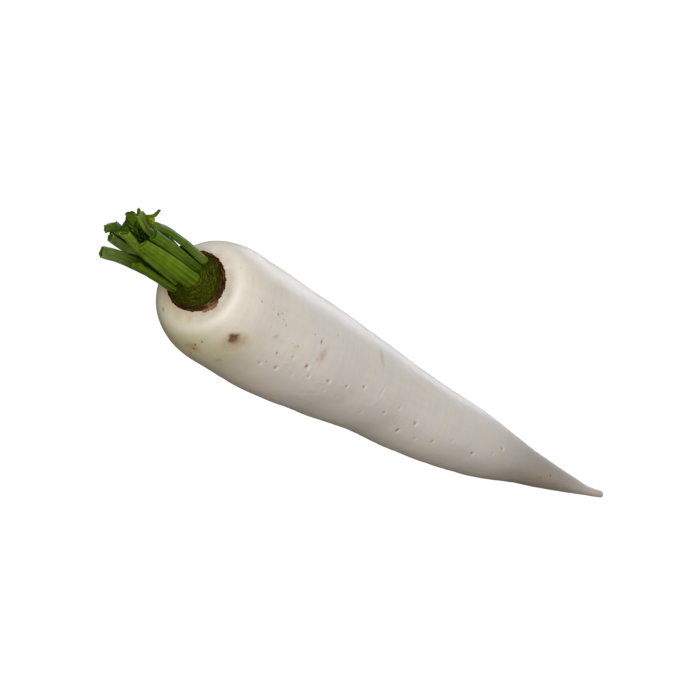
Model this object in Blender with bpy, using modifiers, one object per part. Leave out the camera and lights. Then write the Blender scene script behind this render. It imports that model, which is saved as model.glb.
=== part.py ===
"""A daikon radish with its leaf stalks trimmed short, lying on its side.

The root runs along +X from the crown to the tip and rests on +Z up.
Sizes are in millimetres and become metres through MM.
"""
import math

import bmesh
import bpy
from mathutils import Matrix, Vector

MM = 0.001
GAP = 0.3
MERGE = 0.00005

# Root: (distance from the crown's seat, radius) down its outer side
ROOT_PROFILE = (
    (0.0, 15.5), (2.0, 22.4), (4.7, 25.7), (8.5, 28.3), (13.7, 30.4), (20.0, 32.0), (28.0, 32.7),
    (47.0, 32.8), (78.0, 31.9), (117.0, 29.5), (164.0, 26.1), (234.0, 21.7), (257.0, 19.7),
    (276.0, 17.2), (296.0, 14.0), (332.0, 9.0), (359.0, 5.4), (378.0, 2.8), (396.0, 1.9),
)
ROOT_LENGTH = 390.0
ROOT_RINGS = 38
ROOT_SIDES = 56
ROOT_RING_CROWDING = 1.45

# The root's curve: sideways bow, lifted tip and the crown end turned up and to one side
BOW_KNOTS = (
    (0.0, 0.0), (12.0, -0.6), (40.0, -1.8), (78.0, -3.1), (117.0, -0.9), (160.0, 1.2),
    (205.0, 0.2), (250.0, 2.8), (312.0, 7.6), (350.0, 8.1), (390.0, 9.1),
)
SHOULDER_RADIUS = 32.8
SHOULDER_END = 47.0
TIP_LIFT = 17.0
TIP_LIFT_FROM = 0.6
TIP_LIFT_POWER = 1.6
CROWN_BEND_LENGTH = 66.5
CROWN_BEND_RISE = 9.5
CROWN_BEND_DIRECTION = Vector((0.0, -0.5, 0.866))

# Resting flat and the oblique end of the tip
FLAT_DEPTH = 0.45
FLAT_CENTRE = 130.0
FLAT_SAG = 1.0
FLAT_REACH = 110.0
FLOOR_CUTTER = (500.0, 200.0, 40.0)
TIP_CUT_AT = 386.5
TIP_CUT_TILT = math.radians(28)
TIP_CUTTER = (40.0, 60.0, 60.0)

# The crown's plate leans to one side: slope, direction and the radii over which the shoulder takes it up
PLATE_SLOPE = 0.176
PLATE_LEAN = math.radians(21)
PLATE_RADIUS = 15.5
PLATE_FADE_RADIUS = 27.0
SEAT_RISE = 1.4

# Crown: (radius, height) of the scarred dome from its top centre down its outer side
CROWN_PROFILE = (
    (0.0, 8.2), (4.0, 8.0), (6.5, 7.3), (7.5, 6.6), (8.5, 5.7), (9.5, 4.9), (10.5, 4.2), (11.5, 3.5),
    (12.5, 2.9), (13.5, 2.3), (14.5, 1.7), (15.4, 1.1), (15.9, 0.7), (15.6, 0.3),
)
CROWN_SIDES = 60
SCAR_PITCH = 1.9
SCAR_HEIGHT = 0.45
SCAR_INNER_RADIUS = 6.0
SCAR_OUTER_RADIUS = 15.8
SCAR_ALLOWANCE = 0.5
SCAR_STEP = 0.62
DOME_CUTTER_WIDENING = 1.04
DOME_CUTTER_DEPTH = 8.0

# Stalks: paths in the crown's frame (across, up, out along its normal), sections as width by thickness,
# and the compass angle that the ribbed outer face looks to
STALK_SIDES = 14
STALK_RINGS = 9
STALKS = {
    "stalk_front": {
        "path": ((2.9, 0.0, -4), (3.8, -1.3, 30), (5.9, -2.3, 54.5)),
        "width": (9.4, 8.9, 7.8, 6.2), "thick": (5.0, 4.4, 3.8), "facing": 5, "slant": 0.25,
    },
    "stalk_front_upper": {
        "path": ((-1.6, 5.2, -4), (-0.5, 4.2, 29), (1.2, 3.6, 50.5)),
        "width": (4.8, 5.8, 6.0), "thick": (3.2, 3.4, 3.2), "facing": 30, "slant": -0.2,
    },
    "stalk_bowed": {
        "path": ((-5.3, 8.0, -4), (-5.4, 8.1, 19), (-5.6, 7.2, 36), (-3.0, 5.9, 49.5)),
        "width": (5.4, 5.4, 4.6), "thick": (5.0, 4.6, 3.7), "facing": 98, "slant": -0.3,
    },
    "stalk_left": {
        "path": ((-2.3, -8.1, -4), (-2.2, -8.2, 13.5), (-4.2, -8.9, 39), (-4.3, -7.4, 57)),
        "width": (5.2, 5.2), "thick": (3.4, 3.4), "facing": -25, "slant": 0.3,
    },
    "stalk_left_short": {
        "path": ((-1.7, -10.9, -4), (0.0, -12.5, 19), (0.6, -14.2, 38)),
        "width": (4.8, 5.2), "thick": (3.4, 4.0), "facing": -35, "slant": 0.1,
    },
    "stalk_low": {
        "path": ((-7.4, -10.4, -4), (-6.0, -14.4, 18), (-4.7, -18.4, 42), (-2.9, -22.2, 56)),
        "width": (4.6, 6.0, 6.6, 6.2), "thick": (3.6, 4.4, 4.4), "facing": -120, "slant": -0.2,
    },
    "stalk_back_low": {
        "path": ((-10.8, -5.4, -4), (-9.8, -10.6, 28), (-8.3, -15.0, 45), (-7.2, -15.3, 56)),
        "width": (4.2, 4.4), "thick": (3.0, 3.0), "facing": 205, "slant": 0.3,
    },
    "stalk_back_mid": {
        "path": ((-11.8, 1.0, -4), (-10.8, -2.4, 28), (-10.8, -2.8, 45), (-10.7, -0.5, 59)),
        "width": (4.6, 4.8), "thick": (3.2, 3.2), "facing": 175, "slant": -0.3,
    },
    "stalk_back_tall": {
        "path": ((-8.2, 4.6, -4), (-6.9, 1.0, 28), (-8.3, 0.3, 45), (-7.9, 3.4, 60)),
        "width": (4.6, 5.2), "thick": (3.0, 2.6), "facing": 60, "slant": 0.0,
    },
    "stalk_leafy": {
        "path": (
            (-7.2, -2.9, -4), (-7.4, -5.6, 25), (-10.2, -9.4, 45),
            (-11.4, -11.0, 52.5), (-10.9, -12.0, 57.8), (-8.8, -14.4, 62.0),
        ),
        "width": (4.0, 3.6, 3.8, 5.4, 4.6), "thick": (3.0, 2.8, 2.4, 1.4, 0.9), "facing": 215, "slant": 0.2,
    },
    "stalk_sprig": {
        "path": (
            (-4.4, 4.6, -4), (-3.9, 4.2, 26), (-6.1, 3.2, 46), (-5.8, 4.6, 52.5),
            (-4.2, 6.6, 57.5), (-0.2, 10.6, 60), (3.2, 15.6, 65),
        ),
        "width": (2.0, 2.0, 2.0, 3.2, 1.4), "thick": (2.0, 1.8, 1.6, 1.2, 0.8), "facing": 110, "slant": 0.0,
    },
    "stalk_heart": {
        "path": ((-3.6, -1.8, -4), (-3.6, -1.8, 22), (-3.8, -1.8, 42)),
        "width": (3.8, 3.6), "thick": (2.8, 2.6), "facing": 40, "slant": 0.35,
    },
}

# Colours, linear, read from the photograph
ROOT_WHITE = (0.62, 0.58, 0.52, 1.0)
CROWN_GREEN = (0.075, 0.06, 0.015, 1.0)
STALK_GREEN = (0.10, 0.17, 0.015, 1.0)


def clear_scene():
    """Remove the objects that the file opens with."""
    for item in list(bpy.data.objects):
        bpy.data.objects.remove(item, do_unlink=True)


def make_collection(name):
    """Add a collection to the scene."""
    collection = bpy.data.collections.new(name)
    bpy.context.scene.collection.children.link(collection)
    return collection


def make_material(name, colour, roughness):
    """A plain Principled material."""
    material = bpy.data.materials.new(name)
    material.use_nodes = True
    shader = material.node_tree.nodes["Principled BSDF"]
    shader.inputs["Base Color"].default_value = colour
    shader.inputs["Roughness"].default_value = roughness
    shader.inputs["Metallic"].default_value = 0.0
    material.diffuse_color = colour
    return material


def smooth_curve(knots, at):
    """Read a smooth curve through (position, value) knots, with level slopes at its peaks."""
    places = [knot[0] for knot in knots]
    values = [knot[1] for knot in knots]
    steps = [(values[i + 1] - values[i]) / (places[i + 1] - places[i]) for i in range(len(knots) - 1)]
    slopes = [steps[0]]
    for before, after in zip(steps, steps[1:]):
        slopes.append(0.0 if before * after <= 0 else 2 * before * after / (before + after))
    slopes.append(steps[-1])
    at = min(max(at, places[0]), places[-1])
    index = max(i for i in range(len(steps)) if at >= places[i])
    span = places[index + 1] - places[index]
    t = (at - places[index]) / span
    start = (2 * t**3 - 3 * t**2 + 1) * values[index] + (t**3 - 2 * t**2 + t) * span * slopes[index]
    end = (3 * t**2 - 2 * t**3) * values[index + 1] + (t**3 - t**2) * span * slopes[index + 1]
    return start + end


def path_point(points, t):
    """Point at t from 0 to 1 on a smooth path through points, evenly spread over their heights."""
    heights = [point[2] for point in points]
    height = heights[0] + t * (heights[-1] - heights[0])
    across = smooth_curve([(point[2], point[0]) for point in points], height)
    up = smooth_curve([(point[2], point[1]) for point in points], height)
    return Vector((across, up, height))


def centre_line(s):
    """Centre of the root at distance s from the crown's seat."""
    along = s / ROOT_LENGTH
    height = smooth_curve(ROOT_PROFILE, s) if s > SHOULDER_END else SHOULDER_RADIUS
    lift = max((along - TIP_LIFT_FROM) / (1 - TIP_LIFT_FROM), 0.0)
    height += TIP_LIFT * lift**TIP_LIFT_POWER - FLAT_DEPTH + FLAT_SAG * ((s - FLAT_CENTRE) / FLAT_REACH) ** 2
    centre = Vector((s, smooth_curve(BOW_KNOTS, s), height))
    bend = max(1 - s / CROWN_BEND_LENGTH, 0.0)
    return centre + CROWN_BEND_RISE * bend**2 * CROWN_BEND_DIRECTION


def root_frame(s):
    """Matrix at distance s whose -Z runs along the root and whose +Y looks up."""
    step = 0.5
    tangent = (centre_line(s + step) - centre_line(max(s - step, 0.0))).normalized()
    across = tangent.cross(Vector((0, 0, 1))).normalized()
    up = across.cross(tangent).normalized()
    frame = Matrix((across, up, -tangent)).transposed().to_4x4()
    frame.translation = centre_line(s)
    return frame


def plate_lean(across, up):
    """How far the leaning crown plate rises at a place across the root, in mm."""
    radius = math.hypot(across, up)
    t = min(max((PLATE_FADE_RADIUS - radius) / (PLATE_FADE_RADIUS - PLATE_RADIUS), 0.0), 1.0)
    toward = across * math.cos(PLATE_LEAN) + up * math.sin(PLATE_LEAN)
    return -PLATE_SLOPE * toward * t * t * (3 - 2 * t)


def screw_solid(name, profile, sides, collection):
    """Turn a (radius, height) profile in mm about Z and return the closed mesh object."""
    mesh = bpy.data.meshes.new(name)
    points = [(radius * MM, 0.0, height * MM) for radius, height in profile]
    edges = [(i, i + 1) for i in range(len(points) - 1)]
    mesh.from_pydata(points, edges, [])
    item = bpy.data.objects.new(name, mesh)
    collection.objects.link(item)
    screw = item.modifiers.new("turn", "SCREW")
    screw.axis = "Z"
    screw.angle = math.tau
    screw.steps = sides
    screw.render_steps = sides
    screw.use_merge_vertices = True
    screw.merge_threshold = MERGE
    bake(item)
    return item


def bake(item):
    """Replace an object's mesh by its evaluated one and drop the modifiers."""
    graph = bpy.context.evaluated_depsgraph_get()
    mesh = bpy.data.meshes.new_from_object(item.evaluated_get(graph), depsgraph=graph)
    item.modifiers.clear()
    item.data = mesh
    shape = bmesh.new()
    shape.from_mesh(mesh)
    bmesh.ops.remove_doubles(shape, verts=shape.verts, dist=MERGE)
    bmesh.ops.recalc_face_normals(shape, faces=shape.faces)
    shape.to_mesh(mesh)
    shape.free()


def cut(item, cutter):
    """Subtract a cutter from an object."""
    boolean = item.modifiers.new("cut " + cutter.name, "BOOLEAN")
    boolean.operation = "DIFFERENCE"
    boolean.solver = "EXACT"
    boolean.object = cutter


def make_box(name, size, place, turn, collection):
    """A cutter box, sizes and place in mm."""
    bpy.ops.mesh.primitive_cube_add(size=1)
    box = bpy.context.object
    box.name = name
    for holder in list(box.users_collection):
        holder.objects.unlink(box)
    collection.objects.link(box)
    box.data.transform(Matrix.Diagonal((*[side * MM for side in size], 1)))
    box.location = Vector(place) * MM
    box.rotation_euler = turn
    box.hide_render = True
    box.display_type = "WIRE"
    return box


def make_root(parts, cutters, material):
    """The white body: a turned profile laid along its curve, with a resting flat and an oblique tip."""
    profile = [(0.0, 0.0)]
    for ring in range(ROOT_RINGS + 1):
        s = ROOT_PROFILE[-1][0] * (ring / ROOT_RINGS) ** ROOT_RING_CROWDING
        profile.append((smooth_curve(ROOT_PROFILE, s), -s))
    profile.append((0.0, -ROOT_PROFILE[-1][0]))
    root = screw_solid("root", profile, ROOT_SIDES, parts)
    for vertex in root.data.vertices:
        s = -vertex.co.z / MM
        across, up = vertex.co.x / MM, vertex.co.y / MM
        rise = plate_lean(across, up) if s < CROWN_BEND_LENGTH else 0.0
        flat = Vector((across, up, rise))
        vertex.co = (root_frame(s) @ flat) * MM
    below = Vector((ROOT_LENGTH / 2, 0, -FLOOR_CUTTER[2] / 2))
    floor = make_box("floor_cutter", FLOOR_CUTTER, below, (0, 0, 0), cutters)
    beyond = centre_line(TIP_CUT_AT) + Vector((TIP_CUTTER[0] / 2, 0, 0))
    tip = make_box("tip_cutter", TIP_CUTTER, beyond, (0, 0, TIP_CUT_TILT), cutters)
    cut(root, floor)
    cut(root, tip)
    bake(root)
    root.data.materials.clear()
    root.data.materials.append(material)
    root.data.shade_smooth()
    return root


def scar_relief(across, up):
    """Height of the leaf-scar ridges at a place on the crown, in mm."""
    radius = math.hypot(across, up)
    if radius < SCAR_INNER_RADIUS or radius > SCAR_OUTER_RADIUS:
        return 0.0
    turn = math.atan2(up, across)
    phase = radius / SCAR_PITCH + 0.28 * math.sin(3 * turn) + 0.16 * math.sin(5 * turn + 1.0)
    ridge = (0.5 + 0.5 * math.cos(math.tau * phase)) ** 2
    broken = 0.65 + 0.35 * math.sin(4 * turn + 2.2 * radius)
    fade = min((radius - SCAR_INNER_RADIUS) / 1.2, (SCAR_OUTER_RADIUS - radius) / 0.8, 1.0)
    return SCAR_HEIGHT * ridge * broken * max(fade, 0.0)


def dense_profile(profile, step):
    """Insert points so that the profile has none further apart than step."""
    points = [profile[0]]
    for start, end in zip(profile, profile[1:]):
        count = max(1, math.ceil(math.dist(start, end) / step))
        for i in range(1, count + 1):
            points.append(tuple(a + (b - a) * i / count for a, b in zip(start, end)))
    return points


def make_crown(parts, holder, material):
    """The dome of leaf scars: a turned profile with its ridges raised by formula."""
    top = [CROWN_PROFILE[0], CROWN_PROFILE[1], CROWN_PROFILE[2]]
    scarred = dense_profile(CROWN_PROFILE[2:-1], SCAR_STEP)
    closed = top[:2] + scarred + [CROWN_PROFILE[-1], (0.0, GAP)]
    crown = screw_solid("crown", closed, CROWN_SIDES, parts)
    for vertex in crown.data.vertices:
        across, up, height = (value / MM for value in vertex.co)
        relief = scar_relief(across, up) if height > GAP + 0.1 else 0.0
        vertex.co.z += (relief + plate_lean(across, up)) * MM
    crown.parent = holder
    crown.data.materials.append(material)
    crown.data.shade_smooth()
    return crown


def make_dome_cutter(cutters, holder):
    """The crown's dome plus its clearance, which the stalks' feet are cut to."""
    clear = SCAR_ALLOWANCE + GAP
    outline = [(radius * DOME_CUTTER_WIDENING, height + clear) for radius, height in CROWN_PROFILE]
    outline += [(CROWN_PROFILE[-2][0] * DOME_CUTTER_WIDENING, -DOME_CUTTER_DEPTH), (0.0, -DOME_CUTTER_DEPTH)]
    cutter = screw_solid("dome_cutter", outline, CROWN_SIDES, cutters)
    for vertex in cutter.data.vertices:
        vertex.co.z += plate_lean(vertex.co.x / MM, vertex.co.y / MM) * MM
    cutter.parent = holder
    cutter.hide_render = True
    cutter.display_type = "WIRE"
    return cutter


def stalk_section(width, thick):
    """Outline of a stalk: a ribbed, rounded outer face and a flatter, grooved inner one."""
    points = []
    for side in range(STALK_SIDES):
        turn = math.tau * side / STALK_SIDES
        across = 0.5 * width * math.cos(turn)
        if math.sin(turn) >= 0:
            out = 0.6 * thick * math.sin(turn) * (1 + 0.07 * math.cos(6 * turn))
        else:
            out = 0.4 * thick * math.sin(turn) * (1 - 0.35 * abs(math.sin(turn)) ** 3)
        points.append((across, out))
    return points


def spread(values, t):
    """Read evenly spaced values at t from 0 to 1."""
    knots = [(i / (len(values) - 1), value) for i, value in enumerate(values)]
    return smooth_curve(knots, t)


def make_stalk(name, design, parts, holder, dome, material):
    """A leaf stalk: a loft between its broad foot and its cut end, along its path."""
    shape = bmesh.new()
    rings = []
    turn = math.radians(design["facing"])
    facing = Vector((math.cos(turn), math.sin(turn), 0))
    for ring in range(STALK_RINGS + 1):
        t = ring / STALK_RINGS
        place = path_point(design["path"], t)
        ahead = path_point(design["path"], min(t + 0.02, 1.0))
        behind = path_point(design["path"], max(t - 0.02, 0.0))
        tangent = (ahead - behind).normalized()
        out = (facing - facing.dot(tangent) * tangent).normalized()
        side = out.cross(tangent).normalized()
        slant = design["slant"] if ring == STALK_RINGS else 0.0
        section = stalk_section(spread(design["width"], t), spread(design["thick"], t))
        corners = [place + side * a + out * b + tangent * (a + b) * slant for a, b in section]
        rings.append([shape.verts.new(corner * MM) for corner in corners])
    for lower, upper in zip(rings, rings[1:]):
        for i in range(STALK_SIDES):
            j = (i + 1) % STALK_SIDES
            shape.faces.new((lower[i], lower[j], upper[j], upper[i]))
    shape.faces.new(list(reversed(rings[0])))
    shape.faces.new(rings[-1])
    bmesh.ops.recalc_face_normals(shape, faces=shape.faces)
    mesh = bpy.data.meshes.new(name)
    shape.to_mesh(mesh)
    shape.free()
    stalk = bpy.data.objects.new(name, mesh)
    parts.objects.link(stalk)
    stalk.parent = holder
    stalk.data.materials.append(material)
    stalk.data.shade_smooth()
    cut(stalk, dome)
    return stalk


def make_holder(name, parts, parent=None):
    """An empty that places what is parented to it."""
    holder = bpy.data.objects.new(name, None)
    parts.objects.link(holder)
    holder.parent = parent
    return holder


def bounds(items):
    """Lowest and highest corner of the evaluated objects in world space."""
    graph = bpy.context.evaluated_depsgraph_get()
    corners = []
    for item in items:
        ready = item.evaluated_get(graph)
        corners += [ready.matrix_world @ vertex.co for vertex in ready.to_mesh().vertices]
        ready.to_mesh_clear()
    low = Vector(min(corner[axis] for corner in corners) for axis in range(3))
    high = Vector(max(corner[axis] for corner in corners) for axis in range(3))
    return low, high


def main():
    """Build the radish and move it so that its box stands centred on the origin."""
    clear_scene()
    parts = make_collection("daikon_radish")
    cutters = make_collection("cutters")
    base = make_holder("base", parts)
    seat = make_holder("crown_seat", parts, base)
    skin = make_material("root_white", ROOT_WHITE, 0.42)
    scars = make_material("crown_green", CROWN_GREEN, 0.7)
    green = make_material("stalk_green", STALK_GREEN, 0.4)

    root = make_root(parts, cutters, skin)
    root.parent = base
    seat_frame = root_frame(0.0)
    seat_place = seat_frame @ Vector((0, SEAT_RISE, 0))
    seat.matrix_local = Matrix.Translation(seat_place * MM) @ seat_frame.to_3x3().to_4x4()
    crown = make_crown(parts, seat, scars)
    dome = make_dome_cutter(cutters, seat)
    stalks = [make_stalk(name, design, parts, seat, dome, green) for name, design in STALKS.items()]

    bpy.context.view_layer.update()
    low, high = bounds([root, crown, *stalks])
    base.location = (-(low.x + high.x) / 2, -(low.y + high.y) / 2, -low.z)
    bpy.context.view_layer.update()


main()
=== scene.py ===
"""Looks of a daikon radish that lies on its side with its leaf stalks cut short."""

import logging
import math
from dataclasses import dataclass, field
from enum import Enum

import bpy
import numpy as np
from mathutils import Matrix, Vector


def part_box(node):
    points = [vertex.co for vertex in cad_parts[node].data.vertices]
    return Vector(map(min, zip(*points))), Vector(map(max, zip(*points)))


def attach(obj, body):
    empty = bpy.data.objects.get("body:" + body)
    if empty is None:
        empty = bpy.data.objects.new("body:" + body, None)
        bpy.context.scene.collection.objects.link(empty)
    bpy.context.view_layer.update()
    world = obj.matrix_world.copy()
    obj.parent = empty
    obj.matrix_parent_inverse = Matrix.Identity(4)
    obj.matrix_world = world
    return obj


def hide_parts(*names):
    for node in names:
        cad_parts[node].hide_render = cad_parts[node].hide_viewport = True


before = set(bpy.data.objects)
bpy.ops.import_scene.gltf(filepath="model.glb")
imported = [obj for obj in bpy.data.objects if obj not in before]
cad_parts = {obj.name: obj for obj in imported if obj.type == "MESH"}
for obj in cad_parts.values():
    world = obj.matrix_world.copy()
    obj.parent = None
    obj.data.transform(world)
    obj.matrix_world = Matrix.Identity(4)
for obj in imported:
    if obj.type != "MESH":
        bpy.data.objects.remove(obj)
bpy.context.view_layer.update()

LOG = logging.getLogger("daikon")
MM = 0.001
BODY = "root"
IMAGE_PIXELS = 700
SEED = 20
RIPPLE_HEIGHT = 0.8
DOME_FLATTENING = 0.05

Array = np.ndarray
Colour = tuple[float, float, float]
Pixel = tuple[float, float]
Point = tuple[float, float, float]
Knots = tuple[tuple[float, float], ...]
Material = bpy.types.Material
Node = bpy.types.Node
NodeTree = bpy.types.NodeTree
Socket = bpy.types.NodeSocket
UNSEEN: Pixel = (0.0, 0.0)


def smooth_step(low: float, high: float, value: Array) -> Array:
    """Ease from 0 at low to 1 at high.

    Args:
        low: where the step begins.
        high: where it ends, which may be below low.
        value: the values to read it at.

    Returns:
        Values from 0 to 1.
    """
    t = np.clip((value - low) / (high - low), 0, 1)
    return t * t * (3 - 2 * t)


def smooth_curve(knots: Knots, at: Array) -> Array:
    """Read a smooth curve that keeps to its knots and never overshoots them.

    Args:
        knots: (position, value) pairs in rising order of position.
        at: positions to read.

    Returns:
        The values at those positions.
    """
    places, values = (np.array(column, float) for column in zip(*knots))
    spans = np.diff(places)
    steps = np.diff(values) / spans
    slopes = np.concatenate([steps[:1], np.zeros(len(steps) - 1), steps[-1:]])
    same = steps[:-1] * steps[1:] > 0
    both = steps[:-1] + steps[1:]
    slopes[1:-1][same] = 2 * (steps[:-1] * steps[1:])[same] / both[same]
    at = np.clip(np.asarray(at, float), places[0], places[-1])
    index = np.clip(np.searchsorted(places, at, side="right") - 1, 0, len(steps) - 1)
    span = spans[index]
    t = (at - places[index]) / span
    start = (2 * t**3 - 3 * t**2 + 1) * values[index] + (t**3 - 2 * t**2 + t) * span * slopes[index]
    end = (3 * t**2 - 2 * t**3) * values[index + 1] + (t**3 - t**2) * span * slopes[index + 1]
    return start + end


def unit(vectors: Array) -> Array:
    """Scale vectors along the last axis to length 1."""
    return vectors / np.maximum(np.linalg.norm(vectors, axis=-1, keepdims=True), 1e-12)


def ripple(points: Array, wavelength: float, seed: int, waves: int = 14) -> Array:
    """A smooth random field made of crossing waves.

    Args:
        points: places, in the same unit as the wavelength.
        wavelength: the usual distance from crest to crest.
        seed: which field.
        waves: how many waves cross.

    Returns:
        Values of about -1 to 1.
    """
    draw = np.random.default_rng(seed)
    directions = unit(draw.normal(size=(waves, points.shape[-1])))
    lengths = wavelength * draw.uniform(0.7, 1.5, waves)
    phases = draw.uniform(0, math.tau, waves)
    total = sum(
        np.cos(points @ directions[i] * (math.tau / lengths[i]) + phases[i]) for i in range(waves)
    )
    return total / math.sqrt(waves) * RIPPLE_HEIGHT


def angle_from(middle: float, turn: Array) -> Array:
    """The angle from a middle on to a turn, at most half a turn either way."""
    return (turn - middle + math.pi) % math.tau - math.pi


def dome_place(r: Array, turn: Array) -> tuple[Array, Array]:
    """Where polar coordinates fall on the crown, across and up: its upper side is a little flatter."""
    return r * np.cos(turn), r * np.sin(turn) * (1 - DOME_FLATTENING * np.maximum(np.sin(turn), 0))


def surface_normals(grid: Array) -> Array:
    """Normals of a grid of points that closes round its second axis.

    Args:
        grid: points as rows along, columns round, 3.

    Returns:
        Unit normals of the same shape.
    """
    along = np.gradient(grid, axis=0)
    around = np.roll(grid, -1, axis=1) - np.roll(grid, 1, axis=1)
    return unit(np.cross(around, along))


def repeat_last(values: Array, count: int) -> Array:
    """Carry a mask's last ring on over some more rings."""
    return np.concatenate([values, np.repeat(values[-1:], count, axis=0)])


def make_piece(
    name: str, grids: Array, masks: dict[str, Array], slot: str, material: Material, *nodes: str
) -> None:
    """Make a smooth piece of rings joined by quads and closed at both ends, dressed and on its body.

    Args:
        name: the piece's name.
        grids: points in mm as rings, sides, 3, or as strands, rings, sides, 3.
        masks: values for each point, stored as named attributes.
        slot: the record's material slot; not used.
        material: its finish.
        nodes: the solids that it stands for.
    """
    strands, rings, sides = (1, *grids.shape[:2]) if grids.ndim == 3 else grids.shape[:3]
    index = np.arange(strands * rings * sides).reshape(strands, rings, sides)
    after = np.roll(index, -1, axis=2)
    quads = np.stack([index[:, :-1], after[:, :-1], after[:, 1:], index[:, 1:]], axis=-1)
    faces = quads.reshape(-1, 4).tolist() + index[:, 0, ::-1].tolist() + index[:, -1].tolist()
    mesh = bpy.data.meshes.new(name)
    mesh.from_pydata((grids.reshape(-1, 3) * MM).tolist(), [], faces)
    for label, values in masks.items():
        attribute = mesh.attributes.new(label, "FLOAT", "POINT")
        attribute.data.foreach_set("value", np.asarray(values, np.float32).ravel())
    mesh.shade_smooth()
    mesh.materials.append(material)
    piece = bpy.data.objects.new(name, mesh)
    bpy.context.scene.collection.objects.link(piece)
    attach(piece, BODY)
    if nodes:
        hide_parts(*nodes)
    LOG.info("%s: %d faces", name, len(mesh.polygons))


def tube(
    path: Array, facing: Array | Point, width: Array, thick: Array, sides: int
) -> tuple[Array, Array, Array]:
    """Lay rings round a path.

    Args:
        path: the middle, as rings, 3.
        facing: which way the broad side looks, as 3 or rings, 3.
        width, thick: the section's sizes at each ring.
        sides: points in a ring.

    Returns:
        The points, their offset along the width from -1 to 1, and the outward direction at each ring.
    """
    tangent = unit(np.gradient(path, axis=0))
    facing = facing * np.ones_like(tangent)
    out = unit(facing - (tangent * facing).sum(axis=-1, keepdims=True) * tangent)
    side = np.cross(out, tangent)
    turn = np.arange(sides) / sides * math.tau
    across = np.cos(turn)[None] * np.ones(len(path))[:, None]
    offset = 0.5 * width[:, None] * across
    lift = 0.5 * thick[:, None] * np.sin(turn)[None]
    return path[:, None] + offset[..., None] * side[:, None] + lift[..., None] * out[:, None], across, out


class Graph:
    """A hand for adding and joining shader nodes in one tree."""

    def __init__(self, tree: NodeTree) -> None:
        """Start with the tree."""
        self.tree = tree

    def add(self, kind: str, **settings: object) -> Node:
        """Add a node.

        Args:
            kind: the node's type.
            settings: properties to set on it.

        Returns:
            The node.
        """
        node = self.tree.nodes.new(kind)
        for name, value in settings.items():
            setattr(node, name, value)
        return node

    def feed(self, socket: Socket, value: object) -> None:
        """Join a socket to an output, or set it to a constant.

        Args:
            socket: the input.
            value: an output socket, a number or a tuple.
        """
        if isinstance(value, Socket):
            self.tree.links.new(value, socket)
        elif isinstance(value, tuple) and len(value) == 3 and socket.type == "RGBA":
            socket.default_value = (*value, 1.0)
        else:
            socket.default_value = value

    def fill(self, node: Node, *values: object) -> Socket:
        """Feed a node's inputs in their order.

        Args:
            node: the node.
            values: numbers, tuples or outputs.

        Returns:
            The node's first output.
        """
        for socket, value in zip(node.inputs, values):
            self.feed(socket, value)
        return node.outputs[0]

    def times(self, first: object, second: object) -> Socket:
        """The product of two numbers or outputs."""
        return self.fill(self.add("ShaderNodeMath", operation="MULTIPLY"), first, second)

    def plus(self, first: object, second: object) -> Socket:
        """The sum of two numbers or outputs."""
        return self.fill(self.add("ShaderNodeMath", operation="ADD"), first, second)

    def blend(self, factor: object, under: object, over: object) -> Socket:
        """Lay one colour over another.

        Args:
            factor: how much of it.
            under, over: the colours.

        Returns:
            The colour's socket.
        """
        node = self.add("ShaderNodeMix", data_type="RGBA")
        self.feed(node.inputs["Factor"], factor)
        self.feed(node.inputs[6], under)
        self.feed(node.inputs[7], over)
        return node.outputs[2]

    def span(self, value: object, low: float, high: float, end: float = 1.0, start: float = 0.0) -> Socket:
        """Map a value's range smoothly onto another.

        Args:
            value: what is mapped.
            low, high: the range that it comes from.
            end, start: the range that it goes to, from start to end.

        Returns:
            The mapped value's socket.
        """
        node = self.add("ShaderNodeMapRange", interpolation_type="SMOOTHSTEP")
        return self.fill(node, value, low, high, start, end)

    def mask(self, name: str) -> Socket:
        """A named value of the mesh."""
        return self.add("ShaderNodeAttribute", attribute_name=name).outputs["Fac"]

    def place(self, stretch: Point = (1, 1, 1)) -> Socket:
        """The object's own coordinates in mm, scaled along each axis.

        Args:
            stretch: factors for X, Y and Z.

        Returns:
            The vector's socket.
        """
        spot = self.add("ShaderNodeTexCoord").outputs["Object"]
        node = self.add("ShaderNodeVectorMath", operation="MULTIPLY")
        return self.fill(node, spot, tuple(factor / MM for factor in stretch))

    def noise(self, vector: object, scale: object, detail: float = 3.0, rough: float = 0.55) -> Socket:
        """A noise value.

        Args:
            vector: where it is read.
            scale: its fineness.
            detail, rough: its finer layers.

        Returns:
            The value's socket.
        """
        node = self.add("ShaderNodeTexNoise")
        given = {"Vector": vector, "Scale": scale, "Detail": detail, "Roughness": rough}
        for name, value in given.items():
            self.feed(node.inputs[name], value)
        return node.outputs["Fac"]

    def group(self, tree: NodeTree, **inputs: object) -> Socket:
        """Place a node group and set its inputs.

        Args:
            tree: the group.
            inputs: values by input name.

        Returns:
            The group's output.
        """
        node = self.add("ShaderNodeGroup", node_tree=tree)
        for name, value in inputs.items():
            self.feed(node.inputs[name], value)
        return node.outputs[0]


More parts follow.
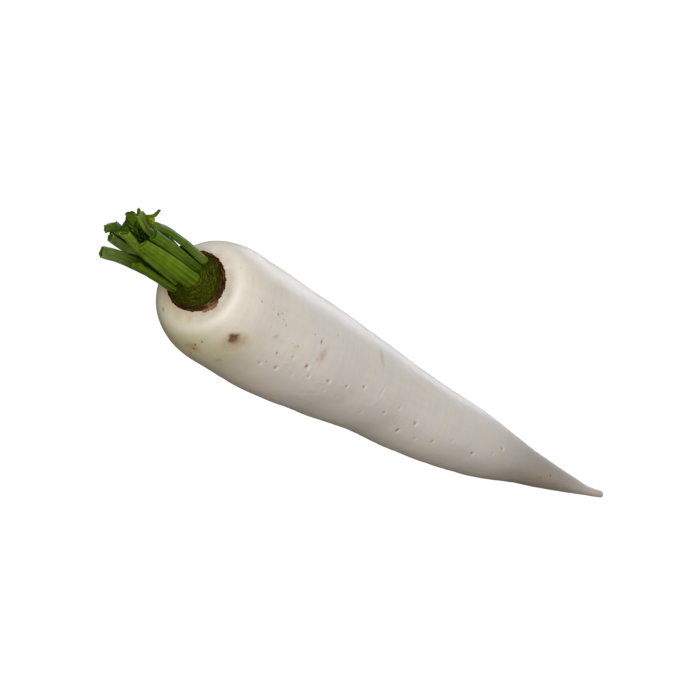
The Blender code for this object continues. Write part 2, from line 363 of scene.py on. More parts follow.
class PlantEffects:
    """Shader node groups that the skin, crown and stalks share."""

    def __init__(self) -> None:
        """Build the groups once."""
        self.mottle = self._mottle()
        self.grain = self._grain()

    @staticmethod
    def _start(name: str, inputs: dict[str, str], outputs: dict[str, str]) -> tuple[Graph, Node, Node]:
        """Make an empty group with its sockets.

        Args:
            name: the group's name.
            inputs, outputs: kinds of socket by name.

        Returns:
            The group's graph, its input node and its output node.
        """
        tree = bpy.data.node_groups.new(name, "ShaderNodeTree")
        for side, sockets in (("INPUT", inputs), ("OUTPUT", outputs)):
            for label, kind in sockets.items():
                tree.interface.new_socket(label, in_out=side, socket_type="NodeSocket" + kind)
        graph = Graph(tree)
        return graph, graph.add("NodeGroupInput"), graph.add("NodeGroupOutput")

    def _mottle(self) -> NodeTree:
        """Cloudy variation of a colour.

        Returns:
            The group: Vector, Base, Tint, Amount and Scale in, Colour out.
        """
        inputs = {"Vector": "Vector", "Base": "Color", "Tint": "Color", "Amount": "Float", "Scale": "Float"}
        graph, source, result = self._start("Mottle", inputs, {"Colour": "Color"})
        given = source.outputs
        clouds = graph.span(graph.noise(given["Vector"], given["Scale"], 5.0, 0.5), 0.35, 0.7)
        colour = graph.blend(graph.times(clouds, given["Amount"]), given["Base"], given["Tint"])
        graph.feed(result.inputs["Colour"], colour)
        return graph.tree

    def _grain(self) -> NodeTree:
        """Fine lines that run one way.

        Returns:
            The group: Vector in, Lines out.
        """
        graph, source, result = self._start("Grain lines", {"Vector": "Vector"}, {"Lines": "Float"})
        lines = graph.noise(source.outputs["Vector"], 1.0, 2.0, 0.5)
        graph.feed(result.inputs["Lines"], graph.span(lines, 0.3, 0.7))
        return graph.tree


def new_material(name: str, settings: dict[str, object]) -> tuple[Material, Graph, Node]:
    """Make a material with its Principled shader.

    Args:
        name: the material's name.
        settings: constants by the name of the shader's input.

    Returns:
        The material, its graph and the shader node.
    """
    material = bpy.data.materials.new(name)
    material.use_nodes = True
    shader = material.node_tree.nodes["Principled BSDF"]
    for label, value in settings.items():
        shader.inputs[label].default_value = value
    return material, Graph(material.node_tree), shader


def add_bump(graph: Graph, shader: Node, height: object, distance: float, strength: float) -> None:
    """Feed a bump height into a shader's normal.

    Args:
        graph: the material's graph.
        shader: its Principled shader.
        height: the value's socket.
        distance: height of a value of 1, in metres.
        strength: how much of it shows.
    """
    bump = graph.add("ShaderNodeBump")
    given = {"Strength": strength, "Distance": distance, "Height": height}
    for name, value in given.items():
        graph.feed(bump.inputs[name], value)
    graph.feed(shader.inputs["Normal"], bump.outputs["Normal"])


@dataclass(frozen=True)
class SkinFinish:
    """The root's off-white skin with its stains, scars, greenish shoulder and tan tip, with painted shade
    on its underside, painted highlights on its scars and a painted light ring by the crown.
    """

    white: Colour = (0.74, 0.705, 0.665)
    cream: Colour = (0.80, 0.73, 0.60)
    green: Colour = (0.52, 0.52, 0.24)
    grey: Colour = (0.37, 0.325, 0.275)
    tan: Colour = (0.48, 0.325, 0.165)
    # brown: the marks' dark cores, and also the painted shade on the underside
    brown: Colour = (0.115, 0.047, 0.012)
    # lip: pale colour of the scratches, and also of the painted highlights on the scars and the painted
    # light ring by the crown
    lip: Colour = (0.88, 0.84, 0.74)
    roughness: float = 0.42
    stain_roughness: float = 0.25
    subsurface: float = 0.12
    subsurface_radius: Colour = (1.0, 0.7, 0.45)
    subsurface_scale: float = 0.004
    cloud_amount: float = 0.45
    cloud_scale: float = 0.045
    ring_stretch: Point = (0.55, 0.05, 0.05)
    ring_amount: float = 0.07
    streak_stretch: Point = (0.018, 0.32, 0.32)
    streak_amount: float = 0.06
    speck_amount: float = 0.22
    fray: float = 0.9
    bump: tuple[float, float] = (0.00012, 0.6)

    def material(self, effects: PlantEffects) -> Material:
        """Build the skin's material.

        Args:
            effects: the shared node groups.

        Returns:
            The material.
        """
        material, graph, shader = new_material("root_skin", {
            "Subsurface Weight": self.subsurface,
            "Subsurface Radius": self.subsurface_radius,
            "Subsurface Scale": self.subsurface_scale,
        })
        spot = graph.place()
        colour = graph.group(effects.mottle, Vector=spot, Base=self.white, Tint=self.cream,
                             Amount=self.cloud_amount, Scale=self.cloud_scale)
        for name, tint in (("cream", self.cream), ("green", self.green), ("grey", self.grey)):
            colour = graph.blend(graph.mask(name), colour, tint)
        rings = graph.group(effects.grain, Vector=graph.place(self.ring_stretch))
        streaks = graph.group(effects.grain, Vector=graph.place(self.streak_stretch))
        lines = graph.plus(graph.times(rings, self.ring_amount), graph.times(streaks, self.streak_amount))
        colour = graph.blend(lines, colour, self.tan)
        specks = graph.span(graph.noise(spot, 0.9, 2.0), 0.68, 0.8)
        colour = graph.blend(graph.times(specks, self.speck_amount), colour, self.tan)
        edge = graph.times(graph.plus(graph.noise(spot, 0.8, 4.0, 0.7), -0.5), self.fray)
        stain = self._patch(graph, "stain", graph.times(edge, 0.5), 0.1, 0.85, 0.12)
        colour = graph.blend(stain, colour, self.tan)
        # The dark mask holds the marks' dark cores and the painted shade on the root's underside, both in
        # brown.
        dark = self._patch(graph, "dark", graph.times(edge, 0.35), 0.2, 0.92, 0.15)
        colour = graph.blend(dark, colour, self.brown)
        # The pale mask holds the scratches, the painted highlight on one lip of each scar and the painted
        # light ring by the crown.
        colour = graph.blend(graph.mask("pale"), colour, self.lip)
        graph.feed(shader.inputs["Base Color"], colour)
        rough = graph.plus(self.roughness, graph.times(stain, self.stain_roughness))
        graph.feed(shader.inputs["Roughness"], rough)
        height = graph.plus(graph.times(rings, 0.5), graph.noise(spot, 0.7, 4.0))
        add_bump(graph, shader, height, *self.bump)
        return material

    @staticmethod
    def _patch(graph: Graph, name: str, edge: Socket, low: float, most: float, foot: float) -> Socket:
        """A mask with a broken edge.

        Args:
            graph: the material's graph.
            name: the mask.
            edge: the noise that breaks its edge.
            low: where it begins to show.
            most: how strong it gets.
            foot: the mask's value below which the noise fades out.

        Returns:
            The patch's socket.
        """
        mask = graph.mask(name)
        patch = graph.span(graph.plus(mask, edge), low, 0.9, most)
        return graph.times(patch, graph.span(mask, 0.0, foot))


@dataclass(frozen=True)
class CrownFinish:
    """The crown's dark green leaf scars, with a painted highlight on their edges, and pale strands inside a
    ring of brown fibres.
    """

    green: Colour = (0.025, 0.030, 0.0003)
    dark: Colour = (0.011, 0.014, 0.0004)
    # edge: the pale colour of the dome strands and of the painted highlight on the scar edges
    edge: Colour = (0.17, 0.21, 0.012)
    brown: Colour = (0.013, 0.0050, 0.0006)
    rust: Colour = (0.155, 0.072, 0.022)
    paper: Colour = (0.36, 0.22, 0.10)
    roughness: float = 0.75
    specular: float = 0.04
    fibre_scale: float = 0.8
    bump: tuple[float, float] = (0.0003, 0.6)

    def material(self, effects: PlantEffects) -> Material:
        """Build the crown's material.

        Args:
            effects: the shared node groups.

        Returns:
            The material.
        """
        settings = {"Roughness": self.roughness, "Specular IOR Level": self.specular}
        material, graph, shader = new_material("crown_scars", settings)
        spot = graph.place()
        green, bark, flakes = (
            graph.group(effects.mottle, Vector=spot, Base=base, Tint=tint, Amount=amount, Scale=scale)
            for base, tint, amount, scale in (
                (self.green, self.dark, 0.85, 0.45),
                (self.brown, self.rust, 0.42, self.fibre_scale),
                (self.paper, self.rust, 0.6, self.fibre_scale),
            )
        )
        broken = graph.span(graph.noise(spot, 0.6, 3.0), 0.35, 0.65)
        # The scar edges carry a painted highlight; on the strands this value is their own paleness.
        ridge = graph.times(graph.mask("ridge"), graph.span(broken, 0.0, 1.0, start=0.35))
        colour = graph.blend(ridge, green, self.edge)
        bark = graph.blend(graph.mask("tone"), bark, self.rust)
        rim = graph.plus(graph.mask("rim"), graph.times(graph.plus(broken, -0.5), 0.4))
        colour = graph.blend(graph.span(rim, 0.3, 0.7), colour, bark)
        colour = graph.blend(graph.mask("paper"), colour, flakes)
        graph.feed(shader.inputs["Base Color"], colour)
        add_bump(graph, shader, graph.noise(spot, 1.6, 5.0, 0.7), *self.bump)
        return material


class StalkTone(Enum):
    """How a leaf stalk is coloured: (foot, middle, rib) in linear light. The tones are partly lit and
    shaded copies of one green: BRIGHT and SUNNY paint light on lit stalks, the darkest tone paints the
    shade in the hollow among the stalks, and GLEAM's pale rib is a painted highlight.
    """

    BRIGHT = ((0.050, 0.105, 0.001), (0.120, 0.225, 0.003), (0.21, 0.33, 0.020))
    MIDDLE = ((0.040, 0.080, 0.001), (0.080, 0.150, 0.003), (0.15, 0.24, 0.018))
    WASHED = ((0.130, 0.185, 0.030), (0.060, 0.115, 0.001), (0.11, 0.19, 0.008))
    PALE = ((0.05, 0.09, 0.006), (0.16, 0.25, 0.020), (0.30, 0.39, 0.08))
    DARK = ((0.012, 0.032, 0.001), (0.022, 0.058, 0.002), (0.07, 0.14, 0.008))
    LEAF = ((0.022, 0.062, 0.001), (0.050, 0.118, 0.003), (0.22, 0.32, 0.06))
    SUNNY = ((0.050, 0.105, 0.001), (0.160, 0.265, 0.012), (0.27, 0.39, 0.06))
    GLEAM = ((0.036, 0.076, 0.001), (0.048, 0.105, 0.001), (0.34, 0.44, 0.14))
    FRESH = ((0.10, 0.18, 0.004), (0.22, 0.34, 0.012), (0.42, 0.55, 0.08))


BRIGHT, MIDDLE, WASHED, PALE, DARK, LEAF, SUNNY, GLEAM, FRESH = StalkTone


@dataclass(frozen=True)
class StalkFinish:
    """The satin green of a leaf stalk, with fine lines along it, a foot that most tones darken with painted
    shade, paler ends with a painted highlight, and a cut end painted dark with shade.
    """

    tone: StalkTone
    roughness: float = 0.42
    specular: float = 0.06
    subsurface: float = 0.08
    subsurface_radius: Colour = (0.5, 1.0, 0.2)
    subsurface_scale: float = 0.002
    mottle_amount: float = 0.45
    mottle_scale: float = 0.16
    foot_end: tuple[float, float] = (2.0, 22.0)
    # a paler upper part, and a painted highlight towards the cut end
    paler_ends_and_painted_highlight: tuple[Point, ...] = ((22.0, 58.0, 0.3), (44.0, 60.0, 0.5))
    bump: tuple[float, float] = (0.00018, 0.7)

    def material(self, effects: PlantEffects) -> Material:
        """Build the material of one tone.

        Args:
            effects: the shared node groups.

        Returns:
            The material.
        """
        foot, middle, rib = self.tone.value
        material, graph, shader = new_material("stalk_" + self.tone.name.lower(), {
            "Roughness": self.roughness,
            "Specular IOR Level": self.specular,
            "Subsurface Weight": self.subsurface,
            "Subsurface Radius": self.subsurface_radius,
            "Subsurface Scale": self.subsurface_scale,
        })
        along = graph.mask("along")
        spot = graph.fill(
            graph.add("ShaderNodeCombineXYZ"),
            graph.times(along, 0.05),
            graph.times(graph.mask("around"), 1.6),
            graph.mask("own"),
        )
        lines = graph.group(effects.grain, Vector=spot)
        # Most tones darken the foot: painted shade where the stalks crowd on the crown.
        colour = graph.blend(graph.span(along, *self.foot_end), foot, middle)
        # The stalks grow paler towards their ends, and the last part is a painted highlight.
        shares = [graph.span(along, *stretch) for stretch in self.paler_ends_and_painted_highlight]
        shares += [graph.times(graph.mask("rib"), 0.55), graph.times(lines, 0.3)]
        for share in shares:
            colour = graph.blend(share, colour, rib)
        colour = graph.group(effects.mottle, Vector=graph.place(), Base=colour, Tint=foot,
                             Amount=self.mottle_amount, Scale=self.mottle_scale)
        # Painted shade: the hollow of the cut end takes the dark foot colour.
        colour = graph.blend(graph.mask("cut"), colour, foot)
        colour = graph.blend(graph.mask("lip"), colour, rib)
        graph.feed(shader.inputs["Base Color"], colour)
        add_bump(graph, shader, lines, *self.bump)
        return material


@dataclass
class PhotoCamera:
    """The camera of the photograph, rolled so that the root runs down to the right."""

    lens: float = 110.0
    sensor: float = 36.0
    elevation: float = 22.0
    heading: float = 43.0
    roll: float = 47.97
    distance_mm: float = 1092.5
    crown_pixel: Pixel = (196.6, 281.1)

    def __post_init__(self) -> None:
        """Work out the camera's axes."""
        rise, turn, roll = (math.radians(angle) for angle in (self.elevation, self.heading, self.roll))
        self.focal = self.lens / self.sensor * IMAGE_PIXELS
        flat = math.cos(rise)
        self.ahead = np.array([flat * math.cos(turn), flat * math.sin(turn), -math.sin(rise)])
        level = unit(np.cross(self.ahead, [0, 0, 1]))
        upward = np.cross(level, self.ahead)
        self.right = math.cos(roll) * level + math.sin(roll) * upward
        self.up = math.cos(roll) * upward - math.sin(roll) * level

    def aim(self, crown: Array) -> None:
        """Stand where the crown falls on its pixel.

        Args:
            crown: the crown's place in mm.
        """
        x, y = (value - IMAGE_PIXELS / 2 for value in self.crown_pixel)
        ray = self.ahead + x / self.focal * self.right - y / self.focal * self.up
        self.place = crown - self.distance_mm * ray

    def project(self, points: Array) -> Array:
        """Find the pixels of points in mm."""
        offset = points - self.place
        depth = offset @ self.ahead
        x = IMAGE_PIXELS / 2 + self.focal * (offset @ self.right) / depth
        y = IMAGE_PIXELS / 2 - self.focal * (offset @ self.up) / depth
        return np.stack([x, y], axis=-1)

    def build(self) -> None:
        """Add the camera to the scene."""
        data = bpy.data.cameras.new("photo_camera")
        data.lens = self.lens
        data.sensor_width = self.sensor
        data.clip_start = 0.05
        data.clip_end = 50.0
        camera = bpy.data.objects.new("photo_camera", data)
        axes = Matrix((self.right, self.up, -self.ahead)).transposed().to_4x4()
        camera.matrix_world = Matrix.Translation(Vector(self.place) * MM) @ axes
        bpy.context.scene.collection.objects.link(camera)
        bpy.context.scene.camera = camera


@dataclass
class RootForm:
    """The shape of the root: radii, curve and the leaning plate at its crown, in mm."""

    profile: Knots = (
        (0.0, 15.5), (2.0, 22.4), (4.7, 25.7), (8.5, 28.3), (13.7, 30.4), (20.0, 32.0), (28.0, 32.7),
        (47.0, 32.8), (78.0, 31.9), (117.0, 29.5), (164.0, 26.1), (234.0, 21.7), (257.0, 19.7),
        (276.0, 17.2), (296.0, 14.0), (332.0, 9.0), (359.0, 5.4), (378.0, 2.8), (396.0, 1.9),
    )
    bow: Knots = (
        (0.0, 0.0), (12.0, -0.6), (40.0, -1.8), (78.0, -3.1), (117.0, -0.9), (160.0, 1.2),
        (205.0, 0.2), (250.0, 2.8), (312.0, 7.6), (350.0, 8.1), (390.0, 9.1),
    )
    length: float = 390.0
    shoulder_radius: float = 32.8
    shoulder_end: float = 47.0
    tip_lift: float = 17.0
    tip_lift_from: float = 0.6
    bend_length: float = 66.5
    bend_rise: float = 9.5
    bend_direction: Point = (0.0, -0.5, 0.866)
    flat_depth: float = 0.45
    flat_centre: float = 130.0
    flat_sag: float = 1.0
    flat_reach: float = 110.0
    plate_slope: float = 0.176
    plate_lean: float = math.radians(21)
    plate_radius: float = 15.5
    plate_fade_radius: float = 27.0
    seat_rise: float = 1.4
    tip_end: float = 388.2
    tip_slant: float = 0.45

    def radius(self, s: Array) -> Array:
        """Radius at distance s from the crown."""
        return smooth_curve(self.profile, s)

    def centre(self, s: Array) -> Array:
        """Centre line at distance s from the crown."""
        height = np.where(s > self.shoulder_end, self.radius(s), self.shoulder_radius)
        lift = np.clip((s / self.length - self.tip_lift_from) / (1 - self.tip_lift_from), 0, None)
        sag = self.flat_sag * ((s - self.flat_centre) / self.flat_reach) ** 2
        height = height + self.tip_lift * lift**1.6 - self.flat_depth + sag
        line = np.stack([s, smooth_curve(self.bow, s), height], axis=-1)
        bend = np.clip(1 - s / self.bend_length, 0, None)
        return line + self.bend_rise * (bend**2)[..., None] * np.array(self.bend_direction)

    def axes(self, s: Array) -> tuple[Array, Array, Array]:
        """Directions across, up and out towards the crown at distance s."""
        step = 0.5
        tangent = unit(self.centre(s + step) - self.centre(np.maximum(s - step, 0.0)))
        across = unit(np.cross(tangent, [0.0, 0.0, 1.0]))
        return across, np.cross(across, tangent), -tangent

    def plate_rise(self, across: Array, up: Array) -> Array:
        """How far the leaning crown plate rises at a place across the root."""
        fade = smooth_step(self.plate_fade_radius, self.plate_radius, np.hypot(across, up))
        toward = across * math.cos(self.plate_lean) + up * math.sin(self.plate_lean)
        return -self.plate_slope * toward * fade


@dataclass
class Seat:
    """The crown's own frame: its place and its directions across, up and out."""

    place: Array
    across: Array
    up: Array
    out: Array

    def world(self, points: Array) -> Array:
        """Move points from the crown's frame into the row frame, in mm."""
        turned = points[..., :1] * self.across + points[..., 1:2] * self.up + points[..., 2:3] * self.out
        return self.place + turned


class MarkKind(Enum):
    """What a mark on the skin is: (depth in mm, stain, darkness, paleness)."""

    BLEMISH = (0.4, 1.0, 1.15, 0.0)
    DOT = (0.2, 0.7, 1.1, 0.0)
    SCAR = (0.35, 0.6, 0.74, 0.0)
    DIMPLE = (0.5, 0.12, 0.0, 0.0)
    STAIN = (0.0, 0.75, 0.0, 0.0)
    SCRATCH = (0.0, 0.0, 0.0, 0.6)


@dataclass(frozen=True)
class Mark:
    """A mark on the skin: the photograph's pixel that shows it, its size in mm and its turn in degrees."""

    pixel: Pixel
    length: float
    width: float
    turn: float = 0.0
    strength: float = 1.0


SKIN_MARKS: dict[MarkKind, tuple[Mark, ...]] = {
    MarkKind.BLEMISH: (
        Mark((233.6, 340.0), 7.8, 6.2, 60, 0.72), Mark((233.6, 339.2), 5.6, 4.4, 60, 1.15),
        Mark((237.0, 336.0), 5.4, 3.2, 75, 0.66), Mark((231.4, 336.4), 4.6, 3.6, 20, 0.7),
        Mark((234.6, 336.8), 4.4, 3.6, 60, 0.62),
    ),
    MarkKind.DOT: (
        Mark((164.0, 309.0), 2.4, 1.9, 60, 1.2), Mark((240.5, 268.1), 2.2, 1.6, 60, 0.55),
        Mark((202.0, 341.8), 1.7, 1.4, 0, 0.8), Mark((195.4, 344.8), 1.8, 1.5, 0, 0.9),
        Mark((194.2, 348.8), 2.4, 1.5, 70, 0.9), Mark((191.1, 352.9), 2.0, 1.4, 0, 0.8),
        Mark((186.6, 344.3), 1.5, 1.3, 0, 0.7), Mark((171.8, 328.2), 1.5, 1.3, 0, 0.5),
        Mark((173.8, 331.8), 1.5, 1.3, 0, 0.4), Mark((226.9, 351.3), 1.3, 1.2, 0, 0.5),
        Mark((262.1, 302.0), 1.6, 1.3, 0, 0.6), Mark((278.3, 314.1), 1.8, 1.5, 0, 0.75),
        Mark((282.8, 313.9), 1.4, 1.2, 0, 0.55), Mark((287.5, 310.6), 1.5, 1.2, 0, 0.55),
        Mark((274.5, 309.5), 1.6, 1.3, 0, 0.55), Mark((283.1, 320.1), 1.5, 1.2, 0, 0.6),
        Mark((282.6, 323.3), 1.5, 1.2, 0, 0.5), Mark((285.9, 325.8), 1.7, 1.3, 0, 0.7),
        Mark((271.2, 327.1), 1.3, 1.1, 0, 0.5), Mark((292.4, 343.4), 1.4, 1.2, 0, 0.5),
        Mark((297.8, 346.6), 1.6, 1.3, 0, 0.65), Mark((315.7, 333.8), 2.0, 1.6, 80, 0.6),
        Mark((322.0, 341.2), 3.0, 1.7, 90, 0.8), Mark((338.5, 335.2), 2.0, 1.6, 60, 0.55),
        Mark((325.0, 351.5), 2.4, 1.1, 90, 0.5), Mark((265.8, 361.3), 1.5, 1.3, 0, 0.6),
        Mark((276.1, 353.1), 2.2, 1.5, 60, 0.8), Mark((540.0, 477.0), 2.6, 1.6, 80, 0.6),
        Mark((550.6, 475.6), 2.0, 1.6, 80, 0.8), Mark((546.0, 484.6), 2.4, 1.4, 80, 0.6),
    ),
    MarkKind.SCAR: (
        Mark((258.7, 362.6), 3.0, 2.6, 90, 0.7), Mark((275.9, 367.1), 3.7, 2.7, 90, 0.85),
        Mark((291.0, 374.0), 3.2, 2.2, 85, 0.6), Mark((293.0, 356.0), 2.8, 2.5, 80, 0.7),
        Mark((307.0, 366.0), 4.1, 3.1, 80, 1), Mark((308.4, 375.4), 3.4, 2.5, 90, 0.7),
        Mark((328.8, 380.5), 3.5, 3.0, 95, 0.85), Mark((323.7, 389.4), 3.0, 2.4, 90, 0.6),
        Mark((346.7, 386.3), 3.2, 2.2, 85, 0.95), Mark((363.9, 387.5), 3.4, 2.6, 90, 1),
        Mark((359.8, 411.7), 3.0, 2.3, 90, 0.7), Mark((383.4, 412.0), 3.7, 2.5, 90, 0.85),
        Mark((398.9, 407.8), 3.4, 2.6, 85, 0.6), Mark((414.8, 423.1), 3.5, 2.7, 95, 0.95),
        Mark((397.6, 430.8), 5.5, 2.5, 90, 1), Mark((414.2, 438.4), 3.2, 2.6, 90, 0.7),
        Mark((431.4, 441.0), 3.9, 2.4, 90, 0.85), Mark((452.4, 440.3), 3.5, 2.2, 85, 0.6),
        Mark((471.6, 453.7), 3.7, 3.0, 90, 0.95), Mark((502.2, 448.6), 3.2, 2.4, 90, 1),
        Mark((492.0, 453.0), 3.2, 2.2, 90, 0.7),
    ),
    MarkKind.DIMPLE: (
        Mark((382.4, 392.6), 9.0, 1.6, 80),
    ),
    MarkKind.STAIN: (
        Mark((234.0, 341.2), 12.0, 9.5, 60, 1.1), Mark((192.6, 347.6), 8.5, 6.5, 60, 1.0),
        Mark((172.0, 325.0), 11.0, 8.0, 60, 0.4), Mark((218.2, 360.5), 4.6, 3.6, 60, 0.75),
        Mark((224.5, 356.5), 7.0, 3.6, 60, 0.35), Mark((254.0, 279.0), 9.0, 3.0, 85, 0.35),
        Mark((281.0, 314.0), 8.0, 6.0, 60, 0.4), Mark((276.0, 337.2), 4.2, 2.2, 40, 0.8),
        Mark((280.0, 342.0), 7.0, 4.0, 40, 0.35), Mark((295.0, 346.5), 5.0, 3.4, 70, 0.5),
        Mark((322.6, 355.2), 8.5, 5.0, 85, 0.8), Mark((318.0, 359.4), 2.6, 1.8, 60, 0.8),
        Mark((382.0, 356.0), 9.0, 3.6, 95, 0.75), Mark((384.0, 363.0), 6.0, 2.4, 95, 0.6),
        Mark((375.0, 342.0), 9.0, 3.0, 95, 0.4), Mark((341.7, 400.3), 8.0, 3.6, 85, 0.4),
        Mark((281.0, 287.0), 15.0, 9.0, 10, 0.42), Mark((540.5, 478.0), 6.0, 4.0, 80, 1.0),
        Mark((549.0, 475.0), 4.5, 2.2, 80, 0.8), Mark((549.0, 485.0), 4.5, 2.6, 80, 0.7),
    ),
    MarkKind.SCRATCH: (
        Mark((305.0, 394.3), 21.0, 1.0, 27), Mark((285.0, 362.4), 10.0, 1.0, 27, 0.7),
        Mark((317.0, 381.4), 11.0, 1.0, 27, 0.6),
    ),
}


@dataclass
class Root:
    """The white root: its fine skin, its scars and its stains."""

    form: RootForm
    camera: PhotoCamera
    finish: SkinFinish = field(default_factory=SkinFinish)
    rings: int = 410
    sides: int = 236
    plate_rings: int = 6
    crowding: float = 1.3
    hidden_scars: int = 34
    hidden_dots: int = 40
    scar_share: float = 0.72
    # painted highlight: how pale one lip of each scar is painted
    scar_painted_highlight: float = 0.95
    halo_stain: float = 0.55
    tip_stain: float = 0.25
    cream_amount: float = 0.5
    green_amount: float = 0.62
    # painted light: strength, place and width of a pale ring next to the crown
    painted_light_ring: Point = (0.5, 3.4, 2.6)
    # painted shade: how much the downward-facing skin is darkened, with the lowest side darkened more
    painted_underside_shade: float = 0.42
    painted_lowest_shade: float = 0.30
    floor_height: float = 0.02
    tip_rings: Knots = ((0.93, 0.25), (0.75, 0.4), (0.4, 0.3), (0.05, 0.25))

    def __post_init__(self) -> None:
        """Lay out the bare grid and find how far the row frame is shifted."""
        form = self.form
        body = form.tip_end * (np.arange(self.rings) / (self.rings - 1)) ** self.crowding
        plate = np.linspace(0.02, 1, self.plate_rings, endpoint=False) * form.plate_radius
        self.s = np.concatenate([np.zeros(self.plate_rings), body])
        self.r = np.concatenate([plate, form.radius(body)])
        turn = -np.arange(self.sides) / self.sides * math.tau
        across, up = self.r[:, None] * np.cos(turn), self.r[:, None] * np.sin(turn)
        slant = form.tip_slant * smooth_step(form.tip_end - 9, form.tip_end, self.s)
        s = self.s[:, None] + slant[:, None] * across
        rise = np.where(s < form.bend_length, form.plate_rise(across, up), 0.0)
        a, u, o = form.axes(s)
        grid = form.centre(s) + across[..., None] * a + up[..., None] * u + rise[..., None] * o
        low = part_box("root")[0]
        self.shift = np.array([low.x / MM - grid[..., 0].min(), low.y / MM - grid[..., 1].min(), 0.0])
        self.grid = grid + self.shift
        self.normals = surface_normals(self.grid)
        self.along = np.broadcast_to(s, grid.shape[:2])

    def seat(self) -> Seat:
        """The crown's frame, at the root's thick end."""
        start = np.array(0.0)
        across, up, out = self.form.axes(start)
        place = self.form.centre(start) + self.form.seat_rise * up + self.shift
        return Seat(place, across, up, out)

    def build(self, effects: PlantEffects) -> None:
        """Make the root.

        Args:
            effects: the shared node groups.
        """
        shape = self.along.shape
        self.relief = np.zeros(shape)
        self.masks = {name: np.zeros(shape) for name in ("stain", "dark", "pale", "cream", "green", "grey")}
        self._swell()
        for kind, marks in SKIN_MARKS.items():
            for mark in marks:
                self._stamp(kind, mark, *self._spot(mark.pixel))
        self._scatter()
        self._tint()
        grid = self.grid + self.normals * self.relief[..., None]
        grid[..., 2] = np.maximum(grid[..., 2], self.floor_height)
        grid, masks = self._close_tip(grid)
        make_piece("radish_root", grid, masks, "root_skin", self.finish.material(effects), "root")

    def _swell(self) -> None:
        """Give the body its slight unevenness and its fine rings and furrows."""
        body = smooth_step(2.0, 30.0, self.along)
        size = smooth_step(self.form.tip_end, self.form.tip_end - 120, self.along)
        self.relief += 0.32 * ripple(self.grid, 55.0, SEED) * body * size
        self.relief += 0.10 * ripple(self.grid, 17.0, SEED + 1) * body
        rings = ripple(self.grid * np.array([1.0, 0.12, 0.12]), 4.2, SEED + 2)
        patches = smooth_step(0.0, 0.8, ripple(self.grid, 48.0, SEED + 3))
        self.relief += 0.045 * rings * patches * body
        furrows = ripple(self.grid * np.array([0.06, 1.0, 1.0]), 9.0, SEED + 4)
        self.relief += 0.05 * furrows * body

    def _spot(self, pixel: Pixel) -> tuple[int, int]:
        """Find the grid point that a pixel of the photograph shows.

        Args:
            pixel: the pixel.

        Returns:
            Its ring and side.
        """
        seen = self.camera.project(self.grid)
        away = np.hypot(seen[..., 0] - pixel[0], seen[..., 1] - pixel[1])
        away[~self._facing()] = np.inf
        return np.unravel_index(np.argmin(away), away.shape)

    def _facing(self) -> Array:
        """Which grid points turn towards the camera."""
        return ((self.camera.place - self.grid) * self.normals).sum(axis=-1) > 0

    def _cover(self, name: str, values: Array) -> None:
        """Lay values over a mask where they are higher."""
        self.masks[name] = np.maximum(self.masks[name], values)

    def _stamp(self, kind: MarkKind, mark: Mark, ring: int, side: int) -> None:
        """Press a mark into the relief and the masks.

        Args:
            kind: what the mark is.
            mark: the mark.
            ring, side: the grid point at its middle.
        """
        middle, normal = self.grid[ring, side], self.normals[ring, side]
        forward = unit(self.grid[min(ring + 1, len(self.s) - 1), side] - self.grid[ring - 1, side])
        sideways = np.cross(normal, forward)
        turn = math.radians(mark.turn)
        major = math.cos(turn) * forward + math.sin(turn) * sideways
        minor = np.cross(normal, major)
        offset = self.grid - middle
        near = (np.linalg.norm(offset, axis=-1) < 3 * mark.length) & (self.normals @ normal > 0.2)
        length = mark.length * (self.scar_share if kind is MarkKind.SCAR else 1.0)
        x = (offset @ major) / (0.5 * length)
        y = (offset @ minor) / (0.5 * mark.width)
        away = np.hypot(x, y + 0.25 * x * x)
        core = np.exp(-(away**2) * 1.1) * near
        depth, stain, dark, pale = kind.value
        small = min(1.0, self.form.radius(np.array(self.along[ring, side])) / 16)
        lip = np.exp(-((away - 1.5) ** 2) * 3) * near
        self.relief += mark.strength * depth * small * (0.35 * lip - core)
        spread = np.exp(-(away**2) * 0.55) * near
        for name, value, cover in (("stain", stain, spread), ("dark", dark, core), ("pale", pale, core)):
            self._cover(name, value * mark.strength * cover)
        # Painted highlight: one side of each scar is painted pale, as if its lip caught the light.
        if kind is MarkKind.SCAR:
            lip = np.exp(-((0.8 * x) ** 2) - 1.6 * (y + 1.35) ** 2) * near
            self._cover("pale", self.scar_painted_highlight * mark.strength * lip)

    def _scatter(self) -> None:
        """Carry the scars and dots on round the sides that the photograph doesn't show."""
        draw = np.random.default_rng(SEED)
        facing = self._facing()
        for number in range(self.hidden_scars + self.hidden_dots):
            ring = int(np.searchsorted(self.s, draw.uniform(40, 350)))
            row = draw.choice([0.1, 0.62]) + draw.normal(0, 0.07)
            place = row if number < self.hidden_scars else draw.uniform(0, 1)
            side = int(place % 1 * self.sides) % self.sides
            length, strength = draw.uniform(2.4, 5.0), draw.uniform(0.5, 1.0)
            if facing[ring, side]:
                continue
            if number < self.hidden_scars:
                scar = Mark(UNSEEN, length, length * 0.62, 90, strength)
                self._stamp(MarkKind.SCAR, scar, ring, side)
            else:
                dot = Mark(UNSEEN, length * 0.35, length * 0.3, 0, strength * 0.6)
                self._stamp(MarkKind.DOT, dot, ring, side)

    def _tint(self) -> None:
        """Colour the shoulder, the ring round the crown, the lower end and the tip, and paint a light ring
        next to the crown and shade on the underside.
        """
        uneven = 1.6 + 0.9 * ripple(self.grid, 7.0, SEED + 14) + 0.5 * ripple(self.grid, 2.2, SEED + 15)
        halo = np.exp(-((self.along / np.maximum(uneven, 0.5)) ** 2))
        self._cover("stain", self.halo_stain * halo)
        wavy = self.along + 12 * ripple(self.grid, 60.0, SEED + 5)
        self.masks["cream"] = self.cream_amount * smooth_step(85, 8, wavy)
